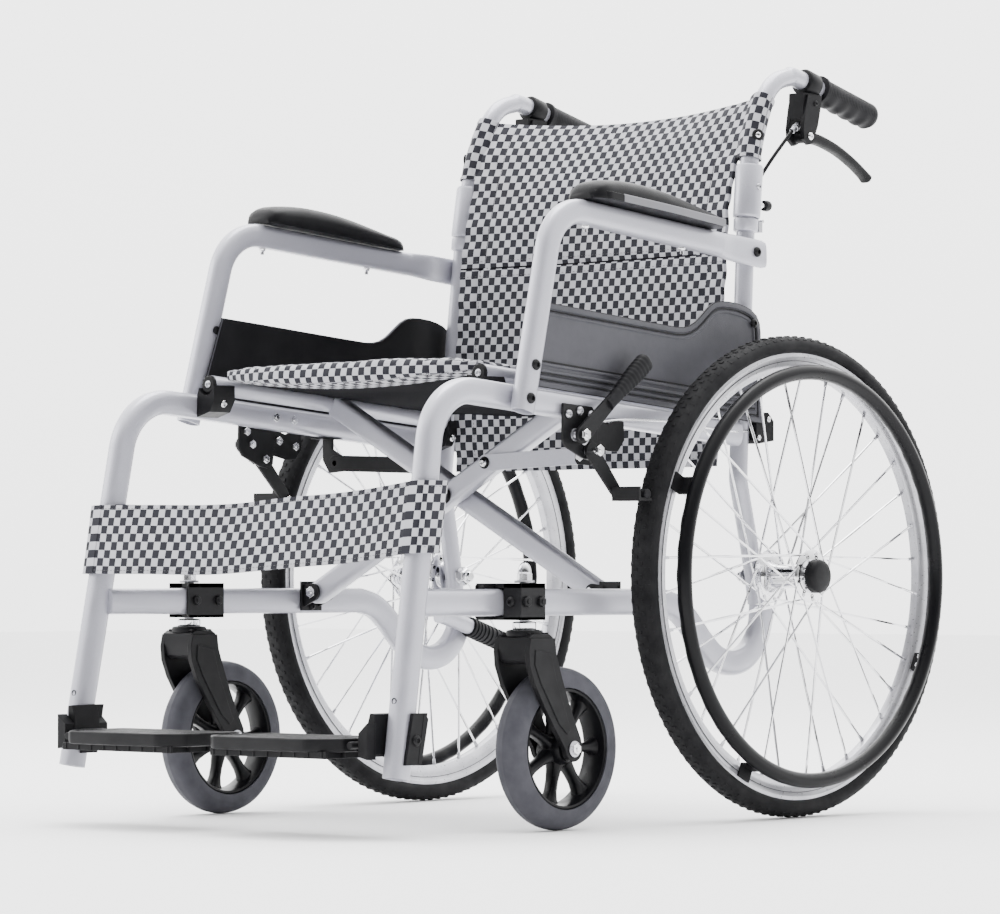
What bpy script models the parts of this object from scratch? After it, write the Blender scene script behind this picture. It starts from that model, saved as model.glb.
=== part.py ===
"""Folding wheelchair: two side frames, a cross brace, rear wheels with handrims, casters and soft goods.

Metres, +Z up, floor at z = 0.  The chair faces -Y.  +X is the occupant's left.
Distances called "y" below are measured from the rear axle and shifted by Y_AXLE when built.
"""
import math

import bmesh
import bpy
from mathutils import Matrix, Vector

# ---- driving dimensions ---------------------------------------------------------------
Y_AXLE = 0.210
Z_AXLE = 0.280
GAP = 0.0005

X_FRAME = 0.2390
X_FOOT = 0.2535
POST_LEAN = 0.0320
UPPER_LEAN = math.radians(1.6)
TUBE_W = 0.024
TUBE_H = 0.029
POST_R = 0.011
RAIL_W = 0.022
RAIL_H = 0.030
FOOT_Y, FOOT_Z = -0.6312, 0.064
UPRIGHT_SLOPE = 0.1774
RAIL_SLOPE = -0.0777
CORNER_Y, CORNER_Z = -0.5563, 0.4861
SIDE_BEND_R = 0.066
LOWER_Z = 0.251
RAIL_INNER = X_FRAME - RAIL_W / 2 - 0.0004

WHEEL_R = 0.280
WHEEL_X = 0.2927
TYRE_W = 0.035
RIM_R_OUT, RIM_R_IN, RIM_W = 0.2590, 0.2370, 0.023
HANDRIM_X, HANDRIM_R, HANDRIM_TUBE = 0.3245, 0.2365, 0.0088
HUB_IN, HUB_OUT = 0.2555, 0.3230
FLANGE_R = 0.031
SPOKES_PER_FLANGE = 16
AXLE_R = 0.006

CASTER_X, CASTER_Y = 0.2635, -0.437
CASTER_WHEEL_Y, CASTER_R = -0.384, 0.090
CASTER_W = 0.034

BRACE_PIVOT_X, BRACE_PIVOT_Z = 0.210, 0.261
BRACE_MID_Z = 0.374
BRACE_H = 0.026
BRACE_Y_A = (-0.2815, -0.2615)
BRACE_Y_B = (-0.2585, -0.2385)
SEAT_TUBE_X, SEAT_TUBE_UP, SEAT_TUBE_R = 0.2125, 0.0252, 0.011

LINK_X, LINK_Z = 0.220, 0.416
LINK_END_X = 0.068

HINGE_Y, HINGE_Z = 0.0190, 0.700
FOOTPLATE_FRONT, FOOTPLATE_REAR = -0.700, -0.588
FOOTPLATE_X, FOOTPLATE_Z = 0.2208, 0.100

BRAKE_PIVOT = (-0.345, 0.437)
SHOE_PIVOT = (-0.322, 0.420)
HAND_PIVOT = (0.112, 0.806)

SIDES = (("left", 1.0), ("right", -1.0))

COLOURS = {
    "pearl_frame": ((0.80, 0.80, 0.83), 0.25, 0.35),
    "black_plastic": ((0.025, 0.025, 0.028), 0.0, 0.45),
    "black_metal": ((0.03, 0.03, 0.032), 0.4, 0.4),
    "pad": ((0.02, 0.02, 0.022), 0.0, 0.55),
    "panel": ((0.10, 0.10, 0.11), 0.0, 0.6),
    "tyre": ((0.03, 0.03, 0.033), 0.0, 0.8),
    "grey_tyre": ((0.22, 0.22, 0.24), 0.0, 0.7),
    "chrome": ((0.75, 0.75, 0.76), 1.0, 0.15),
    "aluminium": ((0.72, 0.72, 0.75), 0.9, 0.3),
    "fabric": ((0.45, 0.45, 0.48), 0.0, 0.9),
}


# ---- helpers ----------------------------------------------------------------------------
def place(x, y, z):
    return Vector((x, y + Y_AXLE, z))


def clear_scene():
    for obj in list(bpy.data.objects):
        bpy.data.objects.remove(obj, do_unlink=True)


def make(name, verts, faces, colour=None):
    """An object from vertices and faces, with its faces turned outwards."""
    mesh = bpy.data.meshes.new(name)
    mesh.from_pydata([tuple(v) for v in verts], [], faces)
    work = bmesh.new()
    work.from_mesh(mesh)
    bmesh.ops.remove_doubles(work, verts=work.verts, dist=1e-6)
    bmesh.ops.recalc_face_normals(work, faces=work.faces)
    work.to_mesh(mesh)
    work.free()
    obj = bpy.data.objects.new(name, mesh)
    bpy.context.scene.collection.objects.link(obj)
    if colour:
        paint(obj, colour)
    return obj


def paint(obj, colour):
    rgb, metallic, rough = COLOURS[colour]
    mat = bpy.data.materials.new(obj.name)
    mat.use_nodes = True
    shader = mat.node_tree.nodes["Principled BSDF"]
    shader.inputs["Base Color"].default_value = (*rgb, 1.0)
    shader.inputs["Metallic"].default_value = metallic
    shader.inputs["Roughness"].default_value = rough
    obj.data.materials.clear()
    obj.data.materials.append(mat)


def combine(obj, other, how):
    """Boolean of two closed solids, kept as plain mesh."""
    mod = obj.modifiers.new("combine", "BOOLEAN")
    mod.operation = how
    mod.solver = "EXACT"
    mod.object = other
    bpy.context.view_layer.update()
    graph = bpy.context.evaluated_depsgraph_get()
    mesh = bpy.data.meshes.new_from_object(obj.evaluated_get(graph))
    obj.modifiers.clear()
    obj.data = mesh
    bpy.data.objects.remove(other, do_unlink=True)
    return obj


def round_section(radius, count=12):
    turn = 2 * math.pi / count
    return [(radius * math.cos(turn * (i + 0.5)), radius * math.sin(turn * (i + 0.5))) for i in range(count)]


def box_section(width, height, corner, steps=2):
    """A rectangle with rounded corners, as points (across, up)."""
    points = []
    for quarter, (sx, sy) in enumerate(((1, 1), (-1, 1), (-1, -1), (1, -1))):
        cx = sx * (width / 2 - corner)
        cy = sy * (height / 2 - corner)
        for i in range(steps + 1):
            angle = math.pi / 2 * (quarter + i / steps)
            points.append((cx + corner * math.cos(angle), cy + corner * math.sin(angle)))
    return points


def rounded_path(points, radius, steps=5):
    """A polyline in space whose inner corners are replaced with arcs."""
    points = [Vector(p) for p in points]
    path = [points[0]]
    for before, corner, after in zip(points, points[1:], points[2:]):
        into = (before - corner).normalized()
        out = (after - corner).normalized()
        half = into.angle(out) / 2
        cut = min(radius / math.tan(half), (before - corner).length * 0.49, (after - corner).length * 0.49)
        start = corner + into * cut
        end = corner + out * cut
        for i in range(steps + 1):
            t = i / steps
            path.append(start.lerp(corner, t).lerp(corner.lerp(end, t), t))
    path.append(points[-1])
    return path


def sweep(name, path, section, colour=None, across=(1, 0, 0)):
    """A closed solid with one section carried along a path; the section's first axis stays near across."""
    path = [Vector(p) for p in path]
    across = Vector(across)
    verts = []
    for i, point in enumerate(path):
        ahead = path[min(i + 1, len(path) - 1)] - path[max(i - 1, 0)]
        tangent = ahead.normalized()
        side = (across - tangent * across.dot(tangent)).normalized()
        up = tangent.cross(side)
        verts += [point + side * a + up * b for a, b in section]
    count = len(section)
    faces = []
    for i in range(len(path) - 1):
        for j in range(count):
            k = (j + 1) % count
            faces.append((i * count + j, i * count + k, (i + 1) * count + k, (i + 1) * count + j))
    faces.append(tuple(range(count - 1, -1, -1)))
    faces.append(tuple((len(path) - 1) * count + j for j in range(count)))
    return make(name, verts, faces, colour)


def spin(name, centre, axis, profile, count, colour=None, closed=False):
    """Profile points (along the axis, radius) turned about the axis; closed profiles make rings."""
    centre = Vector(centre)
    turn = Vector((0, 0, 1)).rotation_difference(Vector(axis)).to_matrix()
    verts = []
    for along, radius in profile:
        for i in range(count):
            angle = 2 * math.pi * i / count
            verts.append(centre + turn @ Vector((radius * math.cos(angle), radius * math.sin(angle), along)))
    faces = []
    rows = len(profile)
    for r in range(rows if closed else rows - 1):
        s = (r + 1) % rows
        for i in range(count):
            j = (i + 1) % count
            faces.append((r * count + i, r * count + j, s * count + j, s * count + i))
    if not closed:
        faces.append(tuple(range(count)))
        faces.append(tuple((rows - 1) * count + i for i in range(count)))
    return make(name, verts, faces, colour)


def rod(name, start, end, radius, count=12, colour=None):
    start = Vector(start)
    end = Vector(end)
    length = (end - start).length
    return spin(name, start, (end - start) / length, [(0, radius), (length, radius)], count, colour)


def prism(name, outline, axis, low, high, colour=None):
    """An outline in the plane across an axis, extended from low to high along that axis."""
    order = {"X": (2, 0, 1), "Y": (0, 2, 1), "Z": (0, 1, 2)}[axis]
    verts = []
    for level in (low, high):
        for a, b in outline:
            point = (a, b, level)
            verts.append((point[order[0]], point[order[1]], point[order[2]]))
    n = len(outline)
    faces = [tuple(range(n)), tuple(range(n, 2 * n))]
    faces += [(i, (i + 1) % n, n + (i + 1) % n, n + i) for i in range(n)]
    return make(name, verts, faces, colour)


def block(name, low, high, colour=None):
    outline = [(low[0], low[1]), (high[0], low[1]), (high[0], high[1]), (low[0], high[1])]
    return prism(name, outline, "Z", low[2], high[2], colour)


def disc(centre, radius, count=8, start=0.0, end=2 * math.pi):
    step = (end - start) / count
    return [(centre[0] + radius * math.cos(start + step * i), centre[1] + radius * math.sin(start + step * i))
            for i in range(count + (end - start < 6.2))]


def capsule(first, last, radius_first, radius_last, steps=5):
    """Outline of a bar with two round ends."""
    angle = math.atan2(last[1] - first[1], last[0] - first[0])
    start = disc(first, radius_first, steps, angle + math.pi / 2, angle + math.pi * 1.5)
    end = disc(last, radius_last, steps, angle - math.pi / 2, angle + math.pi / 2)
    return start + end


def in_row(outline):
    """Outlines given as (y from the axle, z) in the row's frame."""
    return [(y + Y_AXLE, z) for y, z in outline]


def side_prism(name, outline, s, near, far, colour=None):
    """A prism along X on one side of the chair, its outline given as (y, z)."""
    low, high = sorted((s * near, s * far))
    return prism(name, in_row(outline), "X", low, high, colour)


def lean(obj, s):
    """Tips an upper side piece a little inwards about the seat rail's outer edge."""
    pivot = Vector((s * (X_FRAME + 0.012), 0, 0.462))
    turn = Matrix.Translation(pivot) @ Matrix.Rotation(-s * UPPER_LEAN, 4, "Y") @ Matrix.Translation(-pivot)
    obj.data.transform(turn)
    return obj


def rail_z(y):
    return 0.478 + (y + 0.452) * RAIL_SLOPE


def upright_y(z):
    return FOOT_Y + (z - FOOT_Z) * UPRIGHT_SLOPE


def upright_x(z):
    return X_FOOT + (X_FRAME - X_FOOT) * (z - FOOT_Z) / (CORNER_Z - FOOT_Z)


def post_x(z):
    return X_FRAME + 0.0005 - (z - 0.25) * POST_LEAN


# ---- side frame -------------------------------------------------------------------------
def side_path(s, extra=0.0):
    points = [
        place(s * upright_x(FOOT_Z - extra), upright_y(FOOT_Z - extra), FOOT_Z - extra),
        place(s * X_FRAME, CORNER_Y, CORNER_Z),
        place(s * X_FRAME, -0.0395, rail_z(-0.0395)),
    ]
    return rounded_path(points, SIDE_BEND_R, 6)


def side_tube(tag, s):
    return sweep("side_tube_" + tag, side_path(s), box_section(TUBE_W, TUBE_H, 0.0105, 3), "pearl_frame")


def post_path(s):
    points = [(0.0000, 0.2485), (-0.0045, 0.280), (-0.013, 0.322), (-0.0290, 0.392), (-0.0105, 0.603),
              (-0.0015, HINGE_Z - GAP)]
    return rounded_path([place(s * post_x(z), y, z) for y, z in points], 0.02, 2)


def rear_post(tag, s):
    post = sweep("rear_post_" + tag, post_path(s), round_section(POST_R, 14), "pearl_frame")
    collar = rod("collar", place(s * post_x(0.684), -0.0030, 0.684),
                 place(s * post_x(HINGE_Z), -0.0015, HINGE_Z - GAP), 0.0145, 14)
    combine(post, collar, "UNION")
    hole = rod("hole", place(s * 0.20, 0, Z_AXLE), place(s * 0.27, 0, Z_AXLE), AXLE_R + 0.0004, 12)
    return combine(post, hole, "DIFFERENCE")


def lower_rail(tag, s):
    points = [(-0.5790, LOWER_Z), (-0.2, LOWER_Z), (-0.160, 0.2475), (-0.128, 0.229), (-0.101, 0.203),
              (-0.078, 0.186), (-0.052, 0.1795), (-0.026, 0.1845), (-0.0055, 0.201), (0.0060, 0.224),
              (0.0085, 0.2380), (0.0085, 0.2460)]
    path = [place(s * X_FRAME, y, z) for y, z in points]
    return sweep("lower_rail_" + tag, path, box_section(RAIL_W, RAIL_H, 0.007, 2), "pearl_frame")


def tipping_lever():
    x = -(X_FRAME - RAIL_W / 2 - 0.0125)
    path = [place(x, y, z) for y, z in ((-0.0560, 0.2320), (-0.0300, 0.2260), (0.0400, 0.2045), (0.1050, 0.1850))]
    return sweep("tipping_lever", path, box_section(0.024, 0.026, 0.009, 2), "black_plastic")


def brace_clamp(tag, s, layer):
    """Black bracket on the lower rail's inner face, with two ears and the pivot pin."""
    name = "brace_clamp_" + tag
    y0, y1 = layer
    base = side_prism(name, [(y0 - 0.006, 0.240), (y1 + 0.006, 0.240), (y1 + 0.006, 0.274), (y0 - 0.006, 0.274)],
                      s, RAIL_INNER - 0.0040, RAIL_INNER, "black_metal")
    ear = capsule((s * 0.225, 0.257), (s * BRACE_PIVOT_X, BRACE_PIVOT_Z), 0.012, 0.010)
    for low, high in ((y0 - 0.0045, y0 - GAP), (y1 + GAP, y1 + 0.0045)):
        clipped = prism("ear", ear, "Y", low + Y_AXLE, high + Y_AXLE)
        combine(clipped, block("cut", (min(s * RAIL_INNER, s * 0.25), -1, 0.1), (max(s * RAIL_INNER, s * 0.25), 1, 0.5)),
                "DIFFERENCE")
        combine(base, clipped, "UNION")
    pin = rod("pin", place(s * BRACE_PIVOT_X, y0 - 0.0085, BRACE_PIVOT_Z),
              place(s * BRACE_PIVOT_X, y1 + 0.0085, BRACE_PIVOT_Z), 0.005, 12)
    return combine(base, pin, "UNION")


def arm_tube(tag, s):
    """Armrest tube on the frame's outer side, flattened where it meets the rear post."""
    x_low = X_FRAME + 0.0236
    x_high = X_FRAME + 0.0130
    points = [place(s * x_low, -0.4400, 0.4600), place(s * x_low, -0.3805, 0.6900),
              place(s * x_high, -0.0800, 0.6650)]
    tube = sweep("arm_tube_" + tag, rounded_path(points, 0.058, 6), box_section(0.020, 0.028, 0.009, 3), "pearl_frame")
    flat = [(-0.1000, 0.6800), (-0.1000, 0.6530), (-0.060, 0.6480), (0.0060, 0.6440), (0.0120, 0.6490),
            (0.0120, 0.6730), (0.0060, 0.6770), (-0.060, 0.6800)]
    combine(tube, side_prism("flat", flat, s, X_FRAME + 0.0050, X_FRAME + 0.0150), "UNION")
    return lean(tube, s)


def arm_pad(tag, s):
    """Crowned pad along the armrest tube."""
    sections = []
    stations = [(-0.3300, 0.014, 0.012), (-0.3220, 0.0250, 0.021), (-0.2950, 0.0275, 0.0270),
                (-0.2450, 0.0275, 0.0290), (-0.1850, 0.0262, 0.0265), (-0.1300, 0.0235, 0.0200),
                (-0.0960, 0.0210, 0.0125)]
    outline = [(-1, 0), (-1, 0.55), (-0.80, 0.86), (-0.4, 1.0), (0, 1.0), (0.4, 1.0), (0.80, 0.86), (1, 0.55), (1, 0)]
    for y, half, tall in stations:
        tube_top = 0.6900 - (y + 0.3805) * 0.0832 + 0.0148
        x = X_FRAME + 0.0236 - (y + 0.3805) * 0.012
        sections.append([place(s * (x + half * a), y, tube_top + tall * b) for a, b in outline])
    verts = [v for part in sections for v in part]
    n = len(outline)
    faces = [tuple(range(n)), tuple((len(sections) - 1) * n + i for i in range(n))]
    for r in range(len(sections) - 1):
        faces += [(r * n + i, r * n + (i + 1) % n, (r + 1) * n + (i + 1) % n, (r + 1) * n + i) for i in range(n)]
    return lean(make("arm_pad_" + tag, verts, faces, "pad"), s)


def side_panel(tag, s):
    outline = [(-0.4320, rail_z(-0.432) + 0.0158), (-0.2, rail_z(-0.2) + 0.0158), (-0.002, rail_z(-0.002) + 0.0158),
               (-0.002, 0.568), (-0.0055, 0.581), (-0.018, 0.5905), (-0.044, 0.597), (-0.074, 0.599),
               (-0.088, 0.5965), (-0.098, 0.590), (-0.114, 0.578), (-0.128, 0.5690), (-0.143, 0.565),
               (-0.160, 0.5655), (-0.4020, 0.5850)]
    panel = side_prism("side_panel_" + tag, outline, s, X_FRAME + 0.0084, X_FRAME + 0.0116, "panel")
    return lean(panel, s)


# ---- wheels -----------------------------------------------------------------------------
def rear_tyre(tag, s):
    half = TYRE_W / 2
    profile = [(-0.0130, RIM_R_OUT + GAP), (0.0130, RIM_R_OUT + GAP), (half, 0.2665), (half - 0.0012, 0.2730),
               (0.0105, 0.2788), (0.004, WHEEL_R), (-0.004, WHEEL_R), (-0.0105, 0.2788), (-half + 0.0012, 0.2730),
               (-half, 0.2665)]
    return spin("tyre_" + tag, place(s * WHEEL_X, 0, Z_AXLE), (1, 0, 0), profile, 48, "tyre", True)


def rear_wheel(tag, s):
    """Rim, spokes and hub as one laced wheel."""
    centre = place(s * WHEEL_X, 0, Z_AXLE)
    ring = [(-RIM_W / 2, RIM_R_OUT), (-RIM_W / 2, 0.2440), (-0.0065, RIM_R_IN), (0.0065, RIM_R_IN),
            (RIM_W / 2, 0.2440), (RIM_W / 2, RIM_R_OUT)]
    wheel = spin("wheel_" + tag, centre, (1, 0, 0), ring, 48, "aluminium", True)
    lace = bpy.data.meshes.new("lace")
    work = bmesh.new()
    for side, flange in ((0, HUB_IN + 0.002), (1, HUB_OUT - 0.002)):
        for i in range(SPOKES_PER_FLANGE):
            angle = 2 * math.pi * (i + 0.5 * side + 0.25) / SPOKES_PER_FLANGE
            out = Vector((0, math.cos(angle), math.sin(angle)))
            start = Vector((s * flange, Y_AXLE, Z_AXLE)) + out * 0.024
            end = Vector((s * (WHEEL_X + (0.002 if side else -0.002)), Y_AXLE, Z_AXLE)) + out * 0.2420
            along = (end - start).normalized()
            one = along.cross(Vector((1, 0, 0))).normalized() * 0.0012
            two = along.cross(one).normalized() * 0.0012
            ends = [[work.verts.new(p + c) for c in (one, two, -one, -two)] for p in (start, end)]
            work.faces.new(ends[0])
            work.faces.new(ends[1])
            for k in range(4):
                work.faces.new((ends[0][k], ends[0][(k + 1) % 4], ends[1][(k + 1) % 4], ends[1][k]))
    bmesh.ops.recalc_face_normals(work, faces=work.faces)
    work.to_mesh(lace)
    work.free()
    spokes = bpy.data.objects.new("lace", lace)
    bpy.context.scene.collection.objects.link(spokes)
    bore = AXLE_R + 0.0005
    hub_profile = [(HUB_IN - 0.003, bore), (HUB_IN - 0.003, 0.0150), (HUB_IN, 0.0170), (HUB_IN, FLANGE_R),
                   (HUB_IN + 0.004, FLANGE_R), (HUB_IN + 0.006, 0.0150), (HUB_OUT - 0.006, 0.0150),
                   (HUB_OUT - 0.004, FLANGE_R), (HUB_OUT, FLANGE_R), (HUB_OUT, 0.0200), (HUB_OUT + 0.012, 0.0190),
                   (HUB_OUT + 0.0145, 0.0150), (HUB_OUT + 0.0145, 0.0001), (HUB_OUT + 0.006, 0.0001),
                   (HUB_OUT + 0.006, bore)]
    hub = spin("hub", place(0, 0, Z_AXLE), (s, 0, 0), hub_profile, 16, None, True)
    combine(hub, spokes, "UNION")
    return combine(wheel, hub, "UNION")


def axle(tag, s):
    profile = [(0.2130, 0.0095), (0.2210, 0.0095), (0.2210, AXLE_R), (HUB_OUT + 0.005, AXLE_R)]
    shaft = spin("axle_" + tag, place(0, 0, Z_AXLE), (s, 0, 0), profile, 12, "chrome")
    return shaft


def handrim(tag, s):
    centre = place(s * HANDRIM_X, 0, Z_AXLE)
    ring = [(HANDRIM_TUBE * math.cos(a), HANDRIM_R + HANDRIM_TUBE * math.sin(a))
            for a in [math.pi / 4 * (i + 0.5) for i in range(8)]]
    rim = spin("handrim_" + tag, centre, (1, 0, 0), ring, 48, "black_plastic", True)
    for i in range(6):
        angle = math.radians(20 + 60 * i)
        low, high = sorted((s * 0.3047, s * 0.3290))
        tab = block("tab", (low, -0.010, 0.2330), (high, 0.010, 0.2415))
        tab.data.transform(Matrix.Translation(place(0, 0, Z_AXLE)) @ Matrix.Rotation(angle, 4, "X"))
        combine(rim, tab, "UNION")
    return rim


# ---- casters ----------------------------------------------------------------------------
def caster_housing(tag, s):
    outline = [(-0.4575, 0.2315), (-0.4165, 0.2315), (-0.4165, 0.2722), (-0.4575, 0.2722)]
    body = side_prism("caster_housing_" + tag, outline, s, X_FRAME - 0.0135, 0.2770, "black_metal")
    rail = sweep("rail", [place(s * X_FRAME, -0.5, LOWER_Z), place(s * X_FRAME, -0.4, LOWER_Z)],
                 box_section(RAIL_W + 0.001, RAIL_H + 0.001, 0.0072, 2))
    combine(body, rail, "DIFFERENCE")
    hole = rod("hole", place(s * CASTER_X, CASTER_Y, 0.20), place(s * CASTER_X, CASTER_Y, 0.30), 0.0064, 12)
    return combine(body, hole, "DIFFERENCE")


def caster_fork(tag, s):
    name = "caster_fork_" + tag
    stem = [(0.190, 0.018), (0.213, 0.0215), (0.2215, 0.0215), (0.2225, 0.014), (0.2300, 0.010), (0.2308, 0.0056),
            (0.2727, 0.0056), (0.2727, 0.0095), (0.2850, 0.0090), (0.2930, 0.0060), (0.2955, 0.0015)]
    fork = spin(name, place(s * CASTER_X, CASTER_Y, 0), (0, 0, 1), stem, 16, "black_plastic")
    crown = [(-0.4570, 0.2120), (-0.4590, 0.1980), (-0.4500, 0.1860), (-0.4260, 0.1860), (-0.4160, 0.1980),
             (-0.4170, 0.2120), (-0.4270, 0.2180), (-0.4470, 0.2180)]
    combine(fork, side_prism("crown", crown, s, CASTER_X - 0.0225, CASTER_X + 0.0225), "UNION")
    leg = [(-0.4570, 0.2100), (-0.4590, 0.1920), (-0.4520, 0.1700), (-0.4120, 0.1080)]
    leg += disc((CASTER_WHEEL_Y, CASTER_R), 0.0135, 6, math.radians(200), math.radians(380))
    leg += [(-0.4000, 0.1600), (-0.4110, 0.1950), (-0.4170, 0.2120)]
    for near, far in ((-0.0262, -0.0195), (0.0195, 0.0262)):
        combine(fork, side_prism("leg", leg, s, CASTER_X + near, CASTER_X + far), "UNION")
    pin = rod("pin", place(s * (CASTER_X - 0.0310), CASTER_WHEEL_Y, CASTER_R),
              place(s * (CASTER_X + 0.0310), CASTER_WHEEL_Y, CASTER_R), 0.0045, 12)
    return combine(fork, pin, "UNION")


def caster_hub(tag, s):
    centre = place(s * CASTER_X, CASTER_WHEEL_Y, CASTER_R)
    ring = [(-0.014, 0.0665), (-0.014, 0.0590), (0.014, 0.0590), (0.014, 0.0665)]
    hub = spin("caster_hub_" + tag, centre, (1, 0, 0), ring, 32, "black_plastic", True)
    boss = [(-0.0188, 0.0052), (-0.0188, 0.0140), (0.0188, 0.0140), (0.0188, 0.0052)]
    combine(hub, spin("boss", centre, (1, 0, 0), boss, 14, None, True), "UNION")
    for i in range(7):
        angle = 2 * math.pi * i / 7
        spoke = block("spoke", (-0.0075, -0.0055, 0.0110), (0.0075, 0.0055, 0.0610))
        spoke.data.transform(Matrix.Translation(centre) @ Matrix.Rotation(angle, 4, "X"))
        combine(hub, spoke, "UNION")
    return hub


def caster_tyre(tag, s):
    half = CASTER_W / 2
    profile = [(-half, 0.0670), (half, 0.0670), (half, 0.0820), (half * 0.72, 0.0880), (half * 0.28, CASTER_R),
               (-half * 0.28, CASTER_R), (-half * 0.72, 0.0880), (-half, 0.0820)]
    centre = place(s * CASTER_X, CASTER_WHEEL_Y, CASTER_R)
    return spin("caster_tyre_" + tag, centre, (1, 0, 0), profile, 36, "grey_tyre", True)


# ---- footrests --------------------------------------------------------------------------
def foot_clamp(tag, s):
    low, high = sorted((s * 0.2290, s * 0.2740))
    body = block("foot_clamp_" + tag, (low, -0.6470 + Y_AXLE, 0.0770), (high, -0.5960 + Y_AXLE, 0.1350),
                 "black_plastic")
    path = [place(s * upright_x(z), upright_y(z), z) for z in (0.04, 0.20)]
    return combine(body, sweep("hole", path, box_section(TUBE_W + 0.001, TUBE_H + 0.001, 0.0108, 3)), "DIFFERENCE")


def footplate(tag, s):
    """Flip-up plate whose round outer edge turns on a fore-and-aft line beside the upright."""
    edge = [(s * x, z) for x, z in disc((FOOTPLATE_X, FOOTPLATE_Z), 0.0075, 6, -math.pi / 2, math.pi / 2)]
    edge += [(s * 0.0190, FOOTPLATE_Z + 0.0075), (s * 0.0190, FOOTPLATE_Z - 0.0035), (s * 0.0290, FOOTPLATE_Z - 0.0075)]
    plate = prism("footplate_" + tag, edge, "Y", FOOTPLATE_FRONT + Y_AXLE, FOOTPLATE_REAR + Y_AXLE, "black_plastic")
    plan = [(0.2300, -0.600), (0.2300, -0.660), (0.2150, -0.6840), (0.1900, FOOTPLATE_FRONT),
            (0.0440, FOOTPLATE_FRONT), (0.0270, -0.6940), (0.0190, -0.6800), (0.0190, -0.6020), (0.0250, -0.5930),
            (0.0370, -0.5880), (0.2100, -0.5880)]
    outline = [(s * x, y + Y_AXLE) for x, y in plan]
    return combine(plate, prism("plan", outline, "Z", 0.05, 0.15), "INTERSECT")


# ---- cross brace ------------------------------------------------------------------------
def brace(name, s, layer):
    """One arm from the lower pivot on side -s up to the seat tube on side s, with that tube welded on."""
    slope = (BRACE_MID_Z - BRACE_PIVOT_Z) / BRACE_PIVOT_X
    top_z = BRACE_MID_Z + slope * SEAT_TUBE_X
    length = math.hypot(1, slope)
    low = (-s * BRACE_PIVOT_X, BRACE_PIVOT_Z)
    high = (s * (SEAT_TUBE_X - 0.010 / length), top_z - 0.010 * slope / length)
    across = (s * -slope / length * BRACE_H / 2, 1 / length * BRACE_H / 2)
    outline = disc(low, BRACE_H / 2, 6, math.atan2(across[1], across[0]),
                   math.atan2(across[1], across[0]) + s * math.pi)
    outline += [(high[0] - across[0], high[1] - across[1]), (high[0] + across[0], high[1] + across[1])]
    arm = prism(name, outline, "Y", layer[0] + Y_AXLE, layer[1] + Y_AXLE, "pearl_frame")
    ends = [place(s * SEAT_TUBE_X, y, rail_z(y) + SEAT_TUBE_UP) for y in (-0.4550, -0.0500)]
    combine(arm, rod("tube", ends[0], ends[1], SEAT_TUBE_R, 12), "UNION")
    for x, z, radius in ((low[0], low[1], 0.0056), (0, BRACE_MID_Z, 0.0066)):
        hole = rod("hole", place(x, layer[0] - 0.01, z), place(x, layer[1] + 0.01, z), radius, 12)
        combine(arm, hole, "DIFFERENCE")
    return arm


def brace_bolt():
    profile = [(-0.2890, 0.0100), (BRACE_Y_A[0] - GAP, 0.0110), (BRACE_Y_A[0] - GAP, 0.0060),
               (BRACE_Y_B[1] + GAP, 0.0060), (BRACE_Y_B[1] + GAP, 0.0100), (-0.2330, 0.0095)]
    moved = [(y + Y_AXLE, r) for y, r in profile]
    return spin("brace_bolt", (0, 0, BRACE_MID_Z), (0, 1, 0), moved, 12, "black_metal")


def link(tag, s):
    """Flat stabiliser bar from the bracket under the seat rail to the brace arm."""
    y0, y1 = (-0.2865, -0.2825) if s > 0 else (-0.2375, -0.2335)
    end_z = BRACE_MID_Z + LINK_END_X * (BRACE_MID_Z - BRACE_PIVOT_Z) / BRACE_PIVOT_X
    outline = capsule((s * LINK_X, LINK_Z), (s * LINK_END_X, end_z), 0.0095, 0.0095)
    bar = prism("link_" + tag, outline, "Y", y0 + Y_AXLE, y1 + Y_AXLE, "pearl_frame")
    hole = rod("hole", place(s * LINK_X, y0 - 0.01, LINK_Z), place(s * LINK_X, y1 + 0.01, LINK_Z), 0.0046, 12)
    return combine(bar, hole, "DIFFERENCE")


def link_bracket(tag, s):
    y0, y1 = (-0.2915, -0.2872) if s > 0 else (-0.2328, -0.2285)
    top = rail_z(y1) - 0.0152
    outline = [(s * (LINK_X - 0.010), 0.4100), (s * (LINK_X - 0.005), 0.4045), (s * 0.2330, 0.4045),
               (s * 0.2440, 0.4200), (s * 0.2440, top), (s * 0.2290, top), (s * 0.2290, 0.4330),
               (s * (LINK_X - 0.010), 0.4230)]
    plate = prism("link_bracket_" + tag, outline, "Y", y0 + Y_AXLE, y1 + Y_AXLE, "black_metal")
    ends = (y0 + 0.001, y1 + 0.0062) if s > 0 else (y0 - 0.0062, y1 - 0.001)
    pin = rod("pin", place(s * LINK_X, ends[0], LINK_Z), place(s * LINK_X, ends[1], LINK_Z), 0.0040, 12)
    return combine(plate, pin, "UNION")


# ---- parking brake ----------------------------------------------------------------------
def brake_mount(tag, s):
    outline = [(-0.3650, 0.4300), (-0.3580, 0.4220), (-0.3180, 0.4080), (-0.3080, 0.4120), (-0.3040, 0.4560),
               (-0.3150, 0.4700), (-0.3650, 0.4720)]
    plate = side_prism("brake_mount_" + tag, outline, s, 0.2532, 0.2572, "black_metal")
    for y, z in (BRAKE_PIVOT, SHOE_PIVOT):
        pin = rod("pin", place(s * 0.2560, y, z), place(s * 0.2745, y, z), 0.0040, 12)
        combine(plate, pin, "UNION")
    return plate


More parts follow.
